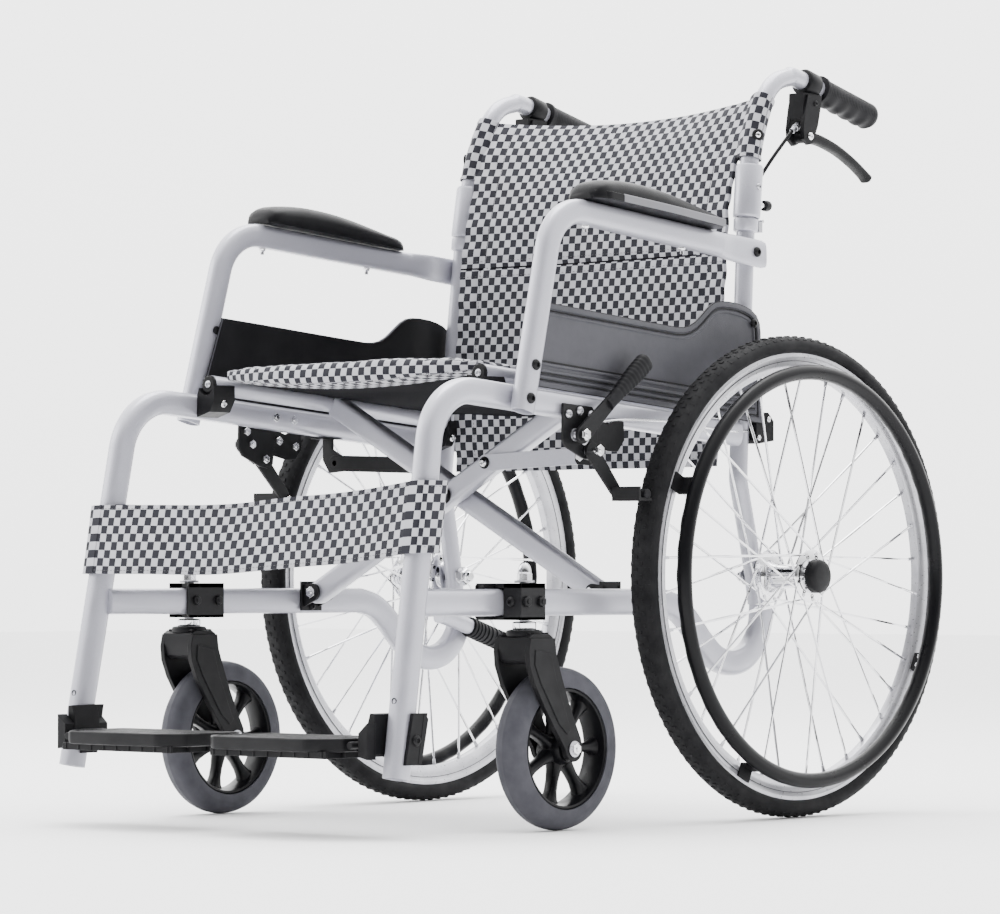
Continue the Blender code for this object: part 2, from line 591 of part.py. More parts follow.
def brake_lever(tag, s):
    y, z = BRAKE_PIVOT
    bar = capsule((y, z), (-0.2950, 0.4760), 0.0105, 0.0085)
    lever = side_prism("brake_lever_" + tag, bar, s, 0.2655, 0.2700, "black_plastic")
    grip = capsule((-0.3000, 0.4720), (-0.2360, 0.5210), 0.0095, 0.0120)
    combine(lever, side_prism("grip", grip, s, 0.2590, 0.2765), "UNION")
    hole = rod("hole", place(s * 0.25, y, z), place(s * 0.29, y, z), 0.0046, 12)
    return combine(lever, hole, "DIFFERENCE")


def brake_shoe(tag, s):
    y, z = SHOE_PIVOT
    bar_y, bar_z = -0.2725, 0.3703
    arm = capsule((y, z), (-0.2830, 0.3780), 0.0100, 0.0080)
    shoe = side_prism("brake_shoe_" + tag, arm, s, 0.2590, 0.2632, "black_metal")
    hole = rod("hole", place(s * 0.25, y, z), place(s * 0.29, y, z), 0.0046, 12)
    combine(shoe, hole, "DIFFERENCE")
    foot = rod("foot", place(s * 0.2592, bar_y - 0.0045, bar_z + 0.0015),
               place(s * 0.3060, bar_y - 0.0045, bar_z + 0.0015), 0.0058, 12)
    return combine(shoe, foot, "UNION")


# ---- push handles -----------------------------------------------------------------------
CANE = [(-0.0005, HINGE_Z + GAP), (0.0030, 0.740), (0.0120, 0.782), (0.0260, 0.820), (0.0410, 0.848),
        (0.0600, 0.8665), (0.0850, 0.8750), (0.1070, 0.8745), (0.2400, 0.8418)]


def cane_path(s):
    return rounded_path([place(s * post_x(z if y < 0.1 else 0.8735), y, z) for y, z in CANE], 0.02, 2)


def cane(tag, s):
    tube = sweep("cane_" + tag, cane_path(s), round_section(POST_R, 14), "pearl_frame")
    sleeve = rod("sleeve", place(s * post_x(HINGE_Z), -0.0005, HINGE_Z + GAP),
                 place(s * post_x(0.765), 0.0085, 0.765), 0.0165, 14)
    return combine(tube, sleeve, "UNION")


def grip_axis(s):
    x = s * post_x(0.8735)
    start = place(x, 0.1440, 0.8654)
    direction = (place(x, 0.240, 0.8418) - place(x, 0.107, 0.8745)).normalized()
    return start, direction


def grip(tag, s):
    start, direction = grip_axis(s)
    bore = POST_R + 0.0004
    profile = [(0.0, bore), (0.0, 0.0165), (0.010, 0.0175), (0.092, 0.0170), (0.107, 0.0150), (0.111, 0.0110),
               (0.111, 0.0001), (0.1015, 0.0001), (0.1015, bore)]
    return spin("grip_" + tag, start, direction, profile, 16, "black_plastic", True)


def hand_brake(tag, s):
    """Clamp and body of the attendant brake lever, around the handle tube just ahead of the grip."""
    outline = [(0.1060, 0.8890), (0.1130, 0.8910), (0.1350, 0.8860), (0.1380, 0.8820), (0.1350, 0.8480),
               (0.1330, 0.8200), (0.1240, 0.7980), (0.1100, 0.7940), (0.0990, 0.8020), (0.0960, 0.8400),
               (0.1040, 0.8560)]
    x = post_x(0.8735)
    body = side_prism("hand_brake_" + tag, outline, s, x - 0.0150, x + 0.0150, "black_plastic")
    combine(body, sweep("hole", cane_path(s), round_section(POST_R + 0.0006, 14)), "DIFFERENCE")
    y, z = HAND_PIVOT
    slot = [(0.1010, 0.8240), (0.1450, 0.8300), (0.1450, 0.7850), (0.0980, 0.7850)]
    combine(body, side_prism("slot", slot, s, x - 0.0085, x + 0.0085), "DIFFERENCE")
    pin = rod("pin", place(s * (x - 0.0148), y, z), place(s * (x + 0.0148), y, z), 0.0030, 10)
    return combine(body, pin, "UNION")


def hand_lever(tag, s):
    y, z = HAND_PIVOT
    upper = [(0.1280, 0.8135), (0.1500, 0.8090), (0.1800, 0.8010), (0.2150, 0.7850), (0.2400, 0.7720)]
    lower = [(0.2360, 0.7620), (0.2100, 0.7740), (0.1750, 0.7890), (0.1450, 0.7970), (0.1200, 0.7985)]
    outline = disc((y, z), 0.0075, 4, math.radians(110), math.radians(250)) + lower[::-1] + upper[::-1]
    x = post_x(0.8735)
    lever = side_prism("hand_lever_" + tag, outline, s, x - 0.0078, x + 0.0078, "black_plastic")
    hole = rod("hole", place(s * 0.18, y, z), place(s * 0.27, y, z), 0.0036, 10)
    return combine(lever, hole, "DIFFERENCE")


# ---- soft goods -------------------------------------------------------------------------
def seat():
    """Padded seat between and over the two seat tubes, following the rails' slope."""
    half = [(0.1480, 0.0155), (0.2005, 0.0370), (0.2180, 0.0374), (0.2190, 0.0400), (0.2100, 0.0425),
            (0.1800, 0.0430)]
    outline = half + [(-x, z) for x, z in reversed(half)]
    stations = ((-0.4570, 0.84, 0.4), (-0.4500, 0.91, 1.0), (-0.4320, 1.0, 1.0), (-0.0600, 1.0, 1.0),
                (-0.0520, 1.0, 0.5))
    verts = []
    for y, wide, k in stations:
        middle = rail_z(y) + 0.0395
        verts += [place(x * wide, y, middle + (rail_z(y) + z - middle) * k) for x, z in outline]
    n = len(outline)
    faces = [tuple(range(n)), tuple(4 * n + i for i in range(n))]
    for r in range(4):
        faces += [(r * n + i, r * n + (i + 1) % n, (r + 1) * n + (i + 1) % n, (r + 1) * n + i) for i in range(n)]
    return make("seat", verts, faces, "fabric")


def back_panel(name, stations, thick):
    """A sagging sheet between the two posts; stations are (y, z, half width, sag)."""
    columns = (-1.0, -0.85, -0.5, 0.0, 0.5, 0.85, 1.0)
    front, rear = [], []
    for y, z, half, sag in stations:
        for c in columns:
            dip = sag * (1 - c * c)
            front.append(place(half * c, y + dip - thick / 2, z - dip * 0.5))
            rear.append(place(half * c, y + dip + thick / 2, z - dip * 0.5))
    n = len(columns)
    total = len(front)
    faces = []
    for r in range(len(stations) - 1):
        for c in range(n - 1):
            a, b, d, e = r * n + c, r * n + c + 1, (r + 1) * n + c + 1, (r + 1) * n + c
            faces.append((a, b, d, e))
            faces.append((total + a, total + e, total + d, total + b))
    edge = [i for i in range(n)] + [r * n + n - 1 for r in range(1, len(stations))]
    edge += [(len(stations) - 1) * n + c for c in range(n - 2, -1, -1)]
    edge += [r * n for r in range(len(stations) - 2, 0, -1)]
    faces += [(a, b, total + b, total + a) for a, b in zip(edge, edge[1:] + edge[:1])]
    return make(name, front + rear, faces, "fabric")


def calf_strap():
    """A belt round the front of both uprights, leaning with them."""
    low, tall, thick = 0.2940, 0.0775, 0.003
    plan = [(-0.2230, 0.0210), (-0.2585, 0.0200), (-0.2612, 0.0040), (-0.2595, -0.0190), (-0.2420, -0.0195),
            (-0.1900, -0.0150), (-0.0900, -0.0090), (0.0, -0.0070)]
    plan += [(-x, y) for x, y in reversed(plan[:-1])]
    points = [Vector((x, y)) for x, y in plan]
    verts = []
    for rise in (0.0, tall):
        for offset in (-thick / 2, thick / 2):
            for i, point in enumerate(points):
                z = low + rise + 0.010 * point.x / 0.26
                along = points[min(i + 1, len(points) - 1)] - points[max(i - 1, 0)]
                normal = Vector((-along.y, along.x)).normalized() * offset
                verts.append(place(point.x + normal.x, upright_y(z) + point.y + normal.y, z))
    n = len(points)
    low_in, low_out, high_in, high_out = 0, n, 2 * n, 3 * n
    faces = []
    for i in range(n - 1):
        for a, b in ((low_in, high_in), (low_out, high_out), (low_in, low_out), (high_in, high_out)):
            faces.append((a + i, a + i + 1, b + i + 1, b + i))
    for i in (0, n - 1):
        faces.append((low_in + i, low_out + i, high_out + i, high_in + i))
    return make("calf_strap", verts, faces, "fabric")


def pivots(tag, s):
    """Points on the joint axes of the moving pieces of one side."""
    wheel = place(s * WHEEL_X, 0, Z_AXLE)
    caster = place(s * CASTER_X, CASTER_WHEEL_Y, CASTER_R)
    hinge = place(s * post_x(HINGE_Z), HINGE_Y, HINGE_Z)
    points = {"tyre": wheel, "wheel": wheel, "handrim": wheel, "caster_hub": caster, "caster_tyre": caster,
              "caster_fork": place(s * CASTER_X, CASTER_Y, LOWER_Z), "cane": hinge, "grip": hinge,
              "hand_brake": hinge, "hand_lever": place(s * post_x(0.8735), *HAND_PIVOT),
              "footplate": place(s * FOOTPLATE_X, -0.640, FOOTPLATE_Z), "link": place(s * LINK_X, -0.260, LINK_Z),
              "brake_lever": place(s * 0.268, *BRAKE_PIVOT), "brake_shoe": place(s * 0.261, *SHOE_PIVOT)}
    return {name + "_" + tag: point for name, point in points.items()}


def set_origin(name, point):
    """Moves an object's origin onto a point without moving its shape."""
    obj = bpy.data.objects[name]
    obj.data.transform(Matrix.Translation(-point))
    obj.location = point


def build():
    clear_scene()
    for tag, s in SIDES:
        for piece in (side_tube, rear_post, lower_rail, arm_tube, arm_pad, side_panel, rear_tyre, rear_wheel, axle,
                      handrim, caster_housing, caster_fork, caster_hub, caster_tyre, foot_clamp, footplate, link,
                      link_bracket, brake_mount, brake_lever, brake_shoe, cane, grip, hand_brake, hand_lever):
            piece(tag, s)
    brace_clamp("left", 1.0, BRACE_Y_B)
    brace_clamp("right", -1.0, BRACE_Y_A)
    brace("brace_a", 1.0, BRACE_Y_A)
    brace("brace_b", -1.0, BRACE_Y_B)
    brace_bolt()
    tipping_lever()
    seat()
    back_panel("back_lower", [(-0.0330, 0.4100, 0.205, 0.004), (-0.0340, 0.5000, 0.212, 0.010),
                              (-0.0260, 0.6000, 0.212, 0.012), (-0.0200, 0.6580, 0.210, 0.013)], 0.008)
    back_panel("back_upper", [(-0.0190, 0.6625, 0.208, 0.013), (-0.0125, 0.7150, 0.205, 0.015),
                              (0.0010, 0.7650, 0.206, 0.018), (0.0180, 0.8100, 0.209, 0.020),
                              (0.0360, 0.8450, 0.209, 0.022)], 0.008)
    calf_strap()
    for tag, s in SIDES:
        for name, point in pivots(tag, s).items():
            set_origin(name, point)
    set_origin("brace_a", place(-BRACE_PIVOT_X, -0.2715, BRACE_PIVOT_Z))
    set_origin("brace_b", place(0, -0.2485, BRACE_MID_Z))
    set_origin("brace_bolt", place(0, -0.2600, BRACE_MID_Z))
    set_origin("seat", place(-SEAT_TUBE_X, -0.2500, rail_z(-0.2500) + SEAT_TUBE_UP))
    set_origin("back_upper", place(0, HINGE_Y, HINGE_Z))


build()
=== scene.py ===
"""Looks of the folding wheelchair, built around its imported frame.

Metres, +Z up.  The chair faces -Y and +X is the occupant's left.  Distances called "y" in the
functions are measured from the rear axle, as in the CAD, and place() shifts them.
"""
import math

import bmesh
import bpy
from mathutils import Matrix, Vector, noise


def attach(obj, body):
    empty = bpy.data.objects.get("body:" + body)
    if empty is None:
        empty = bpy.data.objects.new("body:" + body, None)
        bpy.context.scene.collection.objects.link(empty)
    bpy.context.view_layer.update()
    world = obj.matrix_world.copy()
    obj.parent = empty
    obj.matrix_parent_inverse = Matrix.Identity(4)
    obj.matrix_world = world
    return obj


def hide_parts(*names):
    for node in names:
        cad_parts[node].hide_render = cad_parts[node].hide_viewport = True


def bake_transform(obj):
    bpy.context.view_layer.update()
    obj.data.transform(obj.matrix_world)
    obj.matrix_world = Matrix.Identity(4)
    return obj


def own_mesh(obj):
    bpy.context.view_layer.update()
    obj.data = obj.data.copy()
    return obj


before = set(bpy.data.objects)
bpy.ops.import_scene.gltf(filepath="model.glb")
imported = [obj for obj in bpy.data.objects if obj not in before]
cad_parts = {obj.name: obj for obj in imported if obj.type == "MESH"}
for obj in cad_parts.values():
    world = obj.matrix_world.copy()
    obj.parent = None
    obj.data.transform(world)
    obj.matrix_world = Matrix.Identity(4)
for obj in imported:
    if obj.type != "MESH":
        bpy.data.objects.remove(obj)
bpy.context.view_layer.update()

# ---- driving dimensions, shared with the CAD ---------------------------------------------
Y_AXLE, Z_AXLE = 0.21, 0.28
X_FRAME, X_FOOT, POST_LEAN = 0.239, 0.2535, 0.032
UPPER_LEAN = math.radians(1.6)
TUBE_W, TUBE_H = 0.024, 0.029
RAIL_W, RAIL_H, LOWER_Z = 0.022, 0.03, 0.251
FOOT_Y, FOOT_Z, UPRIGHT_SLOPE = -0.6312, 0.064, 0.1774
RAIL_SLOPE = -0.0777
CORNER_Y, CORNER_Z, SIDE_BEND_R = -0.5563, 0.4861, 0.066
POST_R = 0.011
ARM_CORNER_Y, ARM_CORNER_Z, ARM_SLOPE = -0.3805, 0.69, 0.0832
HANDLE_Z = 0.8735
CABLE_R = 0.0022
WHEEL_X, RIM_R = 0.2927, 0.259
HANDRIM_X, HANDRIM_R, HANDRIM_TUBE = 0.3245, 0.2365, 0.0088
HUB_IN, HUB_OUT = 0.2555, 0.323
CASTER_X, CASTER_Y, CASTER_WHEEL_Y, CASTER_R = 0.2635, -0.437, -0.384, 0.09
HINGE_Y, HINGE_Z = 0.019, 0.7
BRACE_X, BRACE_Z, BRACE_MID_Z, BRACE_H = 0.21, 0.261, 0.374, 0.026
SEAT_TUBE_X, SEAT_TUBE_UP, SEAT_TUBE_R = 0.2125, 0.0252, 0.011
LAYER_A, LAYER_B = (-0.2815, -0.2615), (-0.2585, -0.2385)
LINK_X, LINK_Z, LINK_END_X = 0.22, 0.416, 0.068
FOOTPLATE_X, FOOTPLATE_Z, FOOTPLATE_FRONT = 0.2208, 0.1, -0.7
BRAKE_PIVOT, SHOE_PIVOT, HAND_PIVOT = (-0.345, 0.437), (-0.322, 0.42), (0.112, 0.806)
CHECK = 0.0092          # side of one square of the fabric
TAB_ANGLE = 65          # first handrim tab, in degrees from the top
SIDES = (("left", 1.0), ("right", -1.0))


def place(x, y, z):
    return Vector((x, y + Y_AXLE, z))


def rail_z(y):
    return 0.478 + (y + 0.452) * RAIL_SLOPE


def upright_y(z):
    return FOOT_Y + (z - FOOT_Z) * UPRIGHT_SLOPE


def upright_x(z):
    return X_FOOT + (X_FRAME - X_FOOT) * (z - FOOT_Z) / (CORNER_Z - FOOT_Z)


def post_x(z):
    return X_FRAME + 0.0005 - (z - 0.25) * POST_LEAN


def arm_z(y):
    """Height of the armrest tube's centre line."""
    return ARM_CORNER_Z - (y - ARM_CORNER_Y) * ARM_SLOPE


def pad_x(y):
    return X_FRAME + 0.0236 - (y - ARM_CORNER_Y) * 0.012


def panel_base(y):
    return rail_z(y) + 0.0158


def lean(point, s):
    """Tips an upper side piece a little inwards about the seat rail's outer edge."""
    pivot = Vector((s * (X_FRAME + 0.012), 0, 0.462))
    return Matrix.Rotation(-s * UPPER_LEAN, 4, "Y") @ (point - pivot) + pivot


HANDLE_X = post_x(HANDLE_Z)


# ---- materials ---------------------------------------------------------------------------
class Nodes:
    """A Principled material with short calls for the nodes around it."""

    def __init__(self, name, colour, metallic, rough, coat=0.0, coat_rough=0.1, spec=0.5, sheen=0.0):
        self.mat = bpy.data.materials.new(name)
        self.mat.use_nodes = True
        self.tree = self.mat.node_tree
        self.shader = self.tree.nodes["Principled BSDF"]
        self.put("Base Color", (*colour, 1.0))
        self.put("Metallic", metallic)
        self.put("Roughness", rough)
        self.put("Coat Weight", coat)
        self.put("Coat Roughness", coat_rough)
        self.put("Specular IOR Level", spec)
        self.put("Sheen Weight", sheen)
        self.where = self.node("ShaderNodeTexCoord").outputs["Object"]

    def put(self, socket, value):
        self.shader.inputs[socket].default_value = value

    def node(self, kind, **values):
        node = self.tree.nodes.new(kind)
        for key, value in values.items():
            setattr(node, key, value)
        return node

    def link(self, a, b):
        self.tree.links.new(a, b)
        return b

    def noise(self, scale, detail=3.0, rough=0.5, where=None):
        node = self.node("ShaderNodeTexNoise")
        node.inputs["Scale"].default_value = scale
        node.inputs["Detail"].default_value = detail
        node.inputs["Roughness"].default_value = rough
        self.link(where or self.where, node.inputs["Vector"])
        return node.outputs["Fac"]

    def cells(self, scale, feature="F1"):
        node = self.node("ShaderNodeTexVoronoi", feature=feature)
        node.inputs["Scale"].default_value = scale
        self.link(self.where, node.inputs["Vector"])
        return node.outputs["Distance"]

    def ramp(self, fac, low, high, a, b):
        """Maps fac from low..high onto the colours or greys a..b."""
        node = self.node("ShaderNodeValToRGB")
        one, two = node.color_ramp.elements
        one.position, two.position = low, high
        one.color = (*a, 1) if isinstance(a, tuple) else (a, a, a, 1)
        two.color = (*b, 1) if isinstance(b, tuple) else (b, b, b, 1)
        self.link(fac, node.inputs["Fac"])
        return node.outputs["Color"]

    def colour(self, fac, low, high, a, b):
        self.link(self.ramp(fac, low, high, a, b), self.shader.inputs["Base Color"])
        return self

    def rough(self, fac, low, high, a, b):
        self.link(self.ramp(fac, low, high, a, b), self.shader.inputs["Roughness"])
        return self

    def bump(self, fac, strength, distance, under=None):
        node = self.node("ShaderNodeBump")
        node.inputs["Strength"].default_value = strength
        node.inputs["Distance"].default_value = distance
        self.link(fac, node.inputs["Height"])
        if under is not None:
            self.link(under, node.inputs["Normal"])
        self.link(node.outputs["Normal"], self.shader.inputs["Normal"])
        return node.outputs["Normal"]


def pearl():
    """Pearl paint: fine flake, a slight orange peel and a clear coat."""
    n = Nodes("pearl_paint", (0.5, 0.5, 0.55), 0.4, 0.34, coat=0.45, coat_rough=0.12)
    n.colour(n.noise(2600, 1), 0.35, 0.68, (0.38, 0.38, 0.435), (0.5, 0.5, 0.555))
    n.rough(n.noise(30, 3), 0.35, 0.7, 0.3, 0.42)
    n.bump(n.noise(420, 2), 0.06, 0.0004)
    return n.mat


def brushed_zinc():
    n = Nodes("brushed_zinc", (0.48, 0.48, 0.51), 0.95, 0.34)
    n.rough(n.noise(260, 4), 0.3, 0.7, 0.24, 0.42)
    n.bump(n.noise(900, 2), 0.1, 0.0002)
    return n.mat


def highlight_strip():
    # Its grey is a painted highlight: it stands for the light that the black pad's outer side reflects.
    n = Nodes("grey_highlight_strip", (0.16, 0.16, 0.175), 0.3, 0.4)
    n.rough(n.noise(120, 4), 0.3, 0.7, 0.34, 0.48)
    n.bump(n.noise(800, 2), 0.1, 0.0002)
    return n.mat


def chrome():
    n = Nodes("chrome", (0.8, 0.8, 0.82), 1.0, 0.1)
    n.rough(n.noise(90, 4), 0.35, 0.75, 0.06, 0.2)
    return n.mat


def alloy():
    """Turned rim alloy with a faint circular grain."""
    n = Nodes("rim_alloy", (0.52, 0.52, 0.55), 0.6, 0.33, coat=0.2)
    n.colour(n.noise(48, 4), 0.3, 0.75, (0.44, 0.44, 0.475), (0.58, 0.58, 0.61))
    n.rough(n.noise(340, 3), 0.3, 0.7, 0.26, 0.4)
    n.bump(n.noise(1500, 1), 0.06, 0.0002)
    return n.mat


def black_metal():
    n = Nodes("black_coated_steel", (0.008, 0.008, 0.009), 0.0, 0.42, spec=0.16)
    n.rough(n.noise(220, 4), 0.3, 0.7, 0.32, 0.52)
    n.bump(n.noise(1400, 2), 0.16, 0.0003)
    return n.mat


def black_plastic():
    n = Nodes("moulded_black_plastic", (0.006, 0.006, 0.007), 0.0, 0.46, spec=0.14)
    n.colour(n.noise(24, 4), 0.3, 0.75, (0.004, 0.004, 0.005), (0.009, 0.009, 0.01))
    n.rough(n.noise(55, 4), 0.3, 0.7, 0.38, 0.55)
    n.bump(n.cells(1500), 0.16, 0.0003)
    return n.mat


def gloss_black():
    n = Nodes("gloss_black_plastic", (0.004, 0.004, 0.005), 0.0, 0.32, coat=0.03, coat_rough=0.15, spec=0.12)
    n.rough(n.noise(35, 4), 0.3, 0.75, 0.26, 0.38)
    n.bump(n.noise(300, 2), 0.04, 0.0003)
    return n.mat


def rubber(name, dark, light, rough=0.72, grain=900):
    n = Nodes(name, dark, 0.0, rough, spec=0.13)
    n.colour(n.noise(60, 5), 0.3, 0.75, dark, light)
    n.rough(n.noise(25, 4), 0.3, 0.7, rough - 0.1, rough + 0.08)
    n.bump(n.noise(grain, 3), 0.22, 0.0004)
    return n.mat


def leather():
    """Grained black upholstery: pebble cells under fine creases."""
    n = Nodes("grained_upholstery", (0.005, 0.005, 0.006), 0.0, 0.44, spec=0.12, coat=0.02, coat_rough=0.35)
    n.rough(n.noise(40, 4), 0.3, 0.75, 0.32, 0.48)
    fine = n.bump(n.cells(820, "DISTANCE_TO_EDGE"), 0.35, 0.0004)
    n.bump(n.noise(160, 3), 0.12, 0.0006, under=fine)
    return n.mat


def panel_plastic():
    n = Nodes("textured_side_panel", (0.05, 0.05, 0.06), 0.0, 0.5, spec=0.3)
    n.colour(n.noise(12, 4), 0.3, 0.75, (0.044, 0.044, 0.053), (0.06, 0.06, 0.071))
    n.rough(n.noise(90, 4), 0.3, 0.7, 0.42, 0.56)
    n.bump(n.cells(1300), 0.3, 0.0004)
    return n.mat


def checked():
    """Checked weave: dark and light squares, each with its own ribs of yarn."""
    n = Nodes("checked_fabric", (0.3, 0.3, 0.3), 0.0, 0.86, spec=0.18, sheen=0.08)
    flat = n.node("ShaderNodeUVMap").outputs["UV"]
    drift = n.node("ShaderNodeVectorMath", operation="SCALE")
    wobble = n.node("ShaderNodeTexNoise")
    wobble.inputs["Scale"].default_value = 22
    n.link(flat, wobble.inputs["Vector"])
    n.link(wobble.outputs["Color"], drift.inputs[0])
    drift.inputs["Scale"].default_value = 0.0016
    moved = n.node("ShaderNodeVectorMath", operation="ADD")
    n.link(flat, moved.inputs[0])
    n.link(drift.outputs[0], moved.inputs[1])
    check = n.node("ShaderNodeTexChecker")
    check.inputs["Scale"].default_value = 1 / CHECK
    check.inputs["Color1"].default_value = (0.58, 0.58, 0.62, 1)
    check.inputs["Color2"].default_value = (0.02, 0.02, 0.028, 1)
    n.link(moved.outputs[0], check.inputs["Vector"])
    yarn = []
    for direction in ("X", "Y"):
        wave = n.node("ShaderNodeTexWave", wave_type="BANDS", bands_direction=direction)
        wave.inputs["Scale"].default_value = 330
        wave.inputs["Distortion"].default_value = 0.6
        n.link(flat, wave.inputs["Vector"])
        yarn.append(wave.outputs["Fac"])
    ribs = n.node("ShaderNodeMix", data_type="FLOAT")
    n.link(check.outputs["Fac"], ribs.inputs["Factor"])
    n.link(yarn[0], ribs.inputs[2])
    n.link(yarn[1], ribs.inputs[3])
    shade = n.ramp(ribs.outputs[0], 0.0, 1.0, 0.72, 1.0)
    tone = n.node("ShaderNodeMix", data_type="RGBA", blend_type="MULTIPLY")
    tone.inputs["Factor"].default_value = 1.0
    n.link(check.outputs["Color"], tone.inputs[6])
    n.link(shade, tone.inputs[7])
    worn = n.node("ShaderNodeMix", data_type="RGBA", blend_type="MULTIPLY")
    worn.inputs["Factor"].default_value = 1.0
    n.link(tone.outputs[2], worn.inputs[6])
    n.link(n.ramp(n.noise(9, 3), 0.3, 0.7, 0.88, 1.0), worn.inputs[7])
    n.link(worn.outputs[2], n.shader.inputs["Base Color"])
    fine = n.bump(ribs.outputs[0], 0.35, 0.0004)
    n.bump(check.outputs["Fac"], 0.25, 0.0003, under=fine)
    return n.mat


def dark_lining():
    """Plain dark lining and binding tape; also the thin lines painted as crease shade in the back's seams."""
    n = Nodes("dark_lining", (0.004, 0.004, 0.006), 0.0, 0.9, spec=0.03)
    n.colour(n.noise(500, 2), 0.3, 0.7, (0.003, 0.003, 0.004), (0.008, 0.008, 0.01))
    n.bump(n.noise(1600, 2), 0.3, 0.0004)
    return n.mat


def thread():
    n = Nodes("stitch_thread", (0.05, 0.05, 0.055), 0.0, 0.7, sheen=0.2)
    n.bump(n.noise(2400, 1), 0.2, 0.0002)
    return n.mat


def floor_material():
    n = Nodes("studio_floor", (0.96, 0.96, 0.96), 0.0, 0.75, spec=0.1)
    n.rough(n.noise(6, 3), 0.3, 0.7, 0.7, 0.85)
    return n.mat


PEARL, CHROME, ALLOY, ZINC = pearl(), chrome(), alloy(), brushed_zinc()
BLACK_METAL, BLACK, GLOSS = black_metal(), black_plastic(), gloss_black()
HIGHLIGHT_STRIP = highlight_strip()
TYRE = rubber("tyre_rubber", (0.006, 0.006, 0.007), (0.014, 0.014, 0.015))
GREY_TYRE = rubber("caster_rubber", (0.05, 0.05, 0.06), (0.07, 0.07, 0.082), 0.62, 500)
GRIP = rubber("grip_rubber", (0.006, 0.006, 0.007), (0.012, 0.012, 0.014), 0.52, 1200)
LEATHER, PANEL, FABRIC, LINING, THREAD = leather(), panel_plastic(), checked(), dark_lining(), thread()


# ---- mesh helpers ------------------------------------------------------------------------
class Build:
    """Gathers shapes, each with its material, into one mesh."""

    def __init__(self):
        self.verts, self.faces, self.slots, self.uvs, self.mats = [], [], [], [], []

    def add(self, verts, faces, mat, uvs=None):
        base = len(self.verts)
        if mat not in self.mats:
            self.mats.append(mat)
        self.verts += [Vector(v) for v in verts]
        self.faces += [tuple(base + i for i in face) for face in faces]
        self.slots += [self.mats.index(mat)] * len(faces)
        self.uvs += uvs if uvs else [(0.0, 0.0)] * len(verts)
        return self

    def move(self, change):
        self.verts = [change(v) for v in self.verts]
        return self

    def done(self, name, body, slot=None, replaces=(), bevel=0.0, segments=2, sub=0, angle=38):
        mesh = bpy.data.meshes.new(name)
        mesh.from_pydata([tuple(v) for v in self.verts], [], self.faces)
        layer = mesh.uv_layers.new(name="UVMap")
        for loop in mesh.loops:
            layer.data[loop.index].uv = self.uvs[loop.vertex_index]
        for mat in self.mats:
            mesh.materials.append(mat)
        for poly, index in zip(mesh.polygons, self.slots):
            poly.material_index = index
        work = bmesh.new()
        work.from_mesh(mesh)
        bmesh.ops.recalc_face_normals(work, faces=work.faces)
        work.to_mesh(mesh)
        work.free()
        mesh.shade_smooth()
        mesh.set_sharp_from_angle(angle=math.radians(angle))
        obj = bpy.data.objects.new(name, mesh)
        bpy.context.scene.collection.objects.link(obj)
        if bevel:
            mod = obj.modifiers.new("edges", "BEVEL")
            mod.width = bevel
            mod.segments = segments
            mod.limit_method = "ANGLE"
            mod.angle_limit = math.radians(40)
            mod.harden_normals = True
        if sub:
            mod = obj.modifiers.new("smooth", "SUBSURF")
            mod.levels = mod.render_levels = sub
        if replaces:
            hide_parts(*replaces)
        if body:
            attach(obj, body)
        return obj

    # -- shapes --
    def loft(self, rings, mat, caps=True, ring_closed=True, path_closed=False, uvs=None):
        n = len(rings[0])
        verts = [v for ring in rings for v in ring]
        faces = []
        last = len(rings) if path_closed else len(rings) - 1
        for r in range(last):
            nxt = (r + 1) % len(rings)
            for i in range(n if ring_closed else n - 1):
                j = (i + 1) % n
                faces.append((r * n + i, r * n + j, nxt * n + j, nxt * n + i))
        if caps and not path_closed:
            faces.append(tuple(range(n)))
            faces.append(tuple((len(rings) - 1) * n + i for i in range(n)))
        return self.add(verts, faces, mat, uvs)

    def turned(self, centre, axis, profile, mat, count=32, closed=False, start=0.0):
        """Profile points are (distance along the axis, radius)."""
        along = Vector(axis).normalized()
        side = Vector((0, 0, 1)) if abs(along.z) < 0.9 else Vector((0, 1, 0))
        one = side.cross(along).normalized()
        two = along.cross(one)
        rings = []
        for distance, radius in profile:
            ring = []
            for i in range(count):
                a = start + 2 * math.pi * i / count
                out = one * math.sin(a) + two * math.cos(a)
                ring.append(Vector(centre) + along * distance + out * radius)
            rings.append(ring)
        return self.loft(rings, mat, caps=not closed, path_closed=closed)

    def rod(self, a, b, radius, mat, count=16):
        a, b = Vector(a), Vector(b)
        return self.turned(a, b - a, [(0, radius), ((b - a).length, radius)], mat, count)

    def sweep(self, path, section, mat, up=None, hollow=0.0):
        """Section is a list of (sideways, upwards) points; hollow opens both ends by that wall."""
        path = [Vector(p) for p in path]
        rings = []
        for i, point in enumerate(path):
            along = path[min(i + 1, len(path) - 1)] - path[max(i - 1, 0)]
            along.normalize()
            side = Vector((1, 0, 0)) if up is None else Vector(up).cross(along)
            side = (side - along * side.dot(along)).normalized()
            above = along.cross(side)
            rings.append([point + side * a + above * b for a, b in section])
        if hollow:
            for end, inner in ((0, 1), (-1, -2)):
                centre = path[end]
                deep = (path[inner] - path[end]).normalized() * 0.012
                mouth = [centre + (p - centre) * (1 - hollow / (p - centre).length) for p in rings[end]]
                floor = [p + deep for p in mouth]
                if end == 0:
                    rings = [floor, mouth] + rings
                else:
                    rings = rings + [mouth, floor]
        return self.loft(rings, mat)

    def plate(self, outline, axis, low, high, mat):
        """A prism: the outline is given in the two other axes, in order."""
        spots = {"X": lambda a, b, c: (c, a, b),
                 "Y": lambda a, b, c: (a, c, b),
                 "Z": lambda a, b, c: (a, b, c)}[axis]
        n = len(outline)
        verts = [spots(a, b, low) for a, b in outline] + [spots(a, b, high) for a, b in outline]
        faces = [tuple(range(n)), tuple(range(n, 2 * n))]
        faces += [(i, (i + 1) % n, n + (i + 1) % n, n + i) for i in range(n)]
        return self.add(verts, faces, mat)

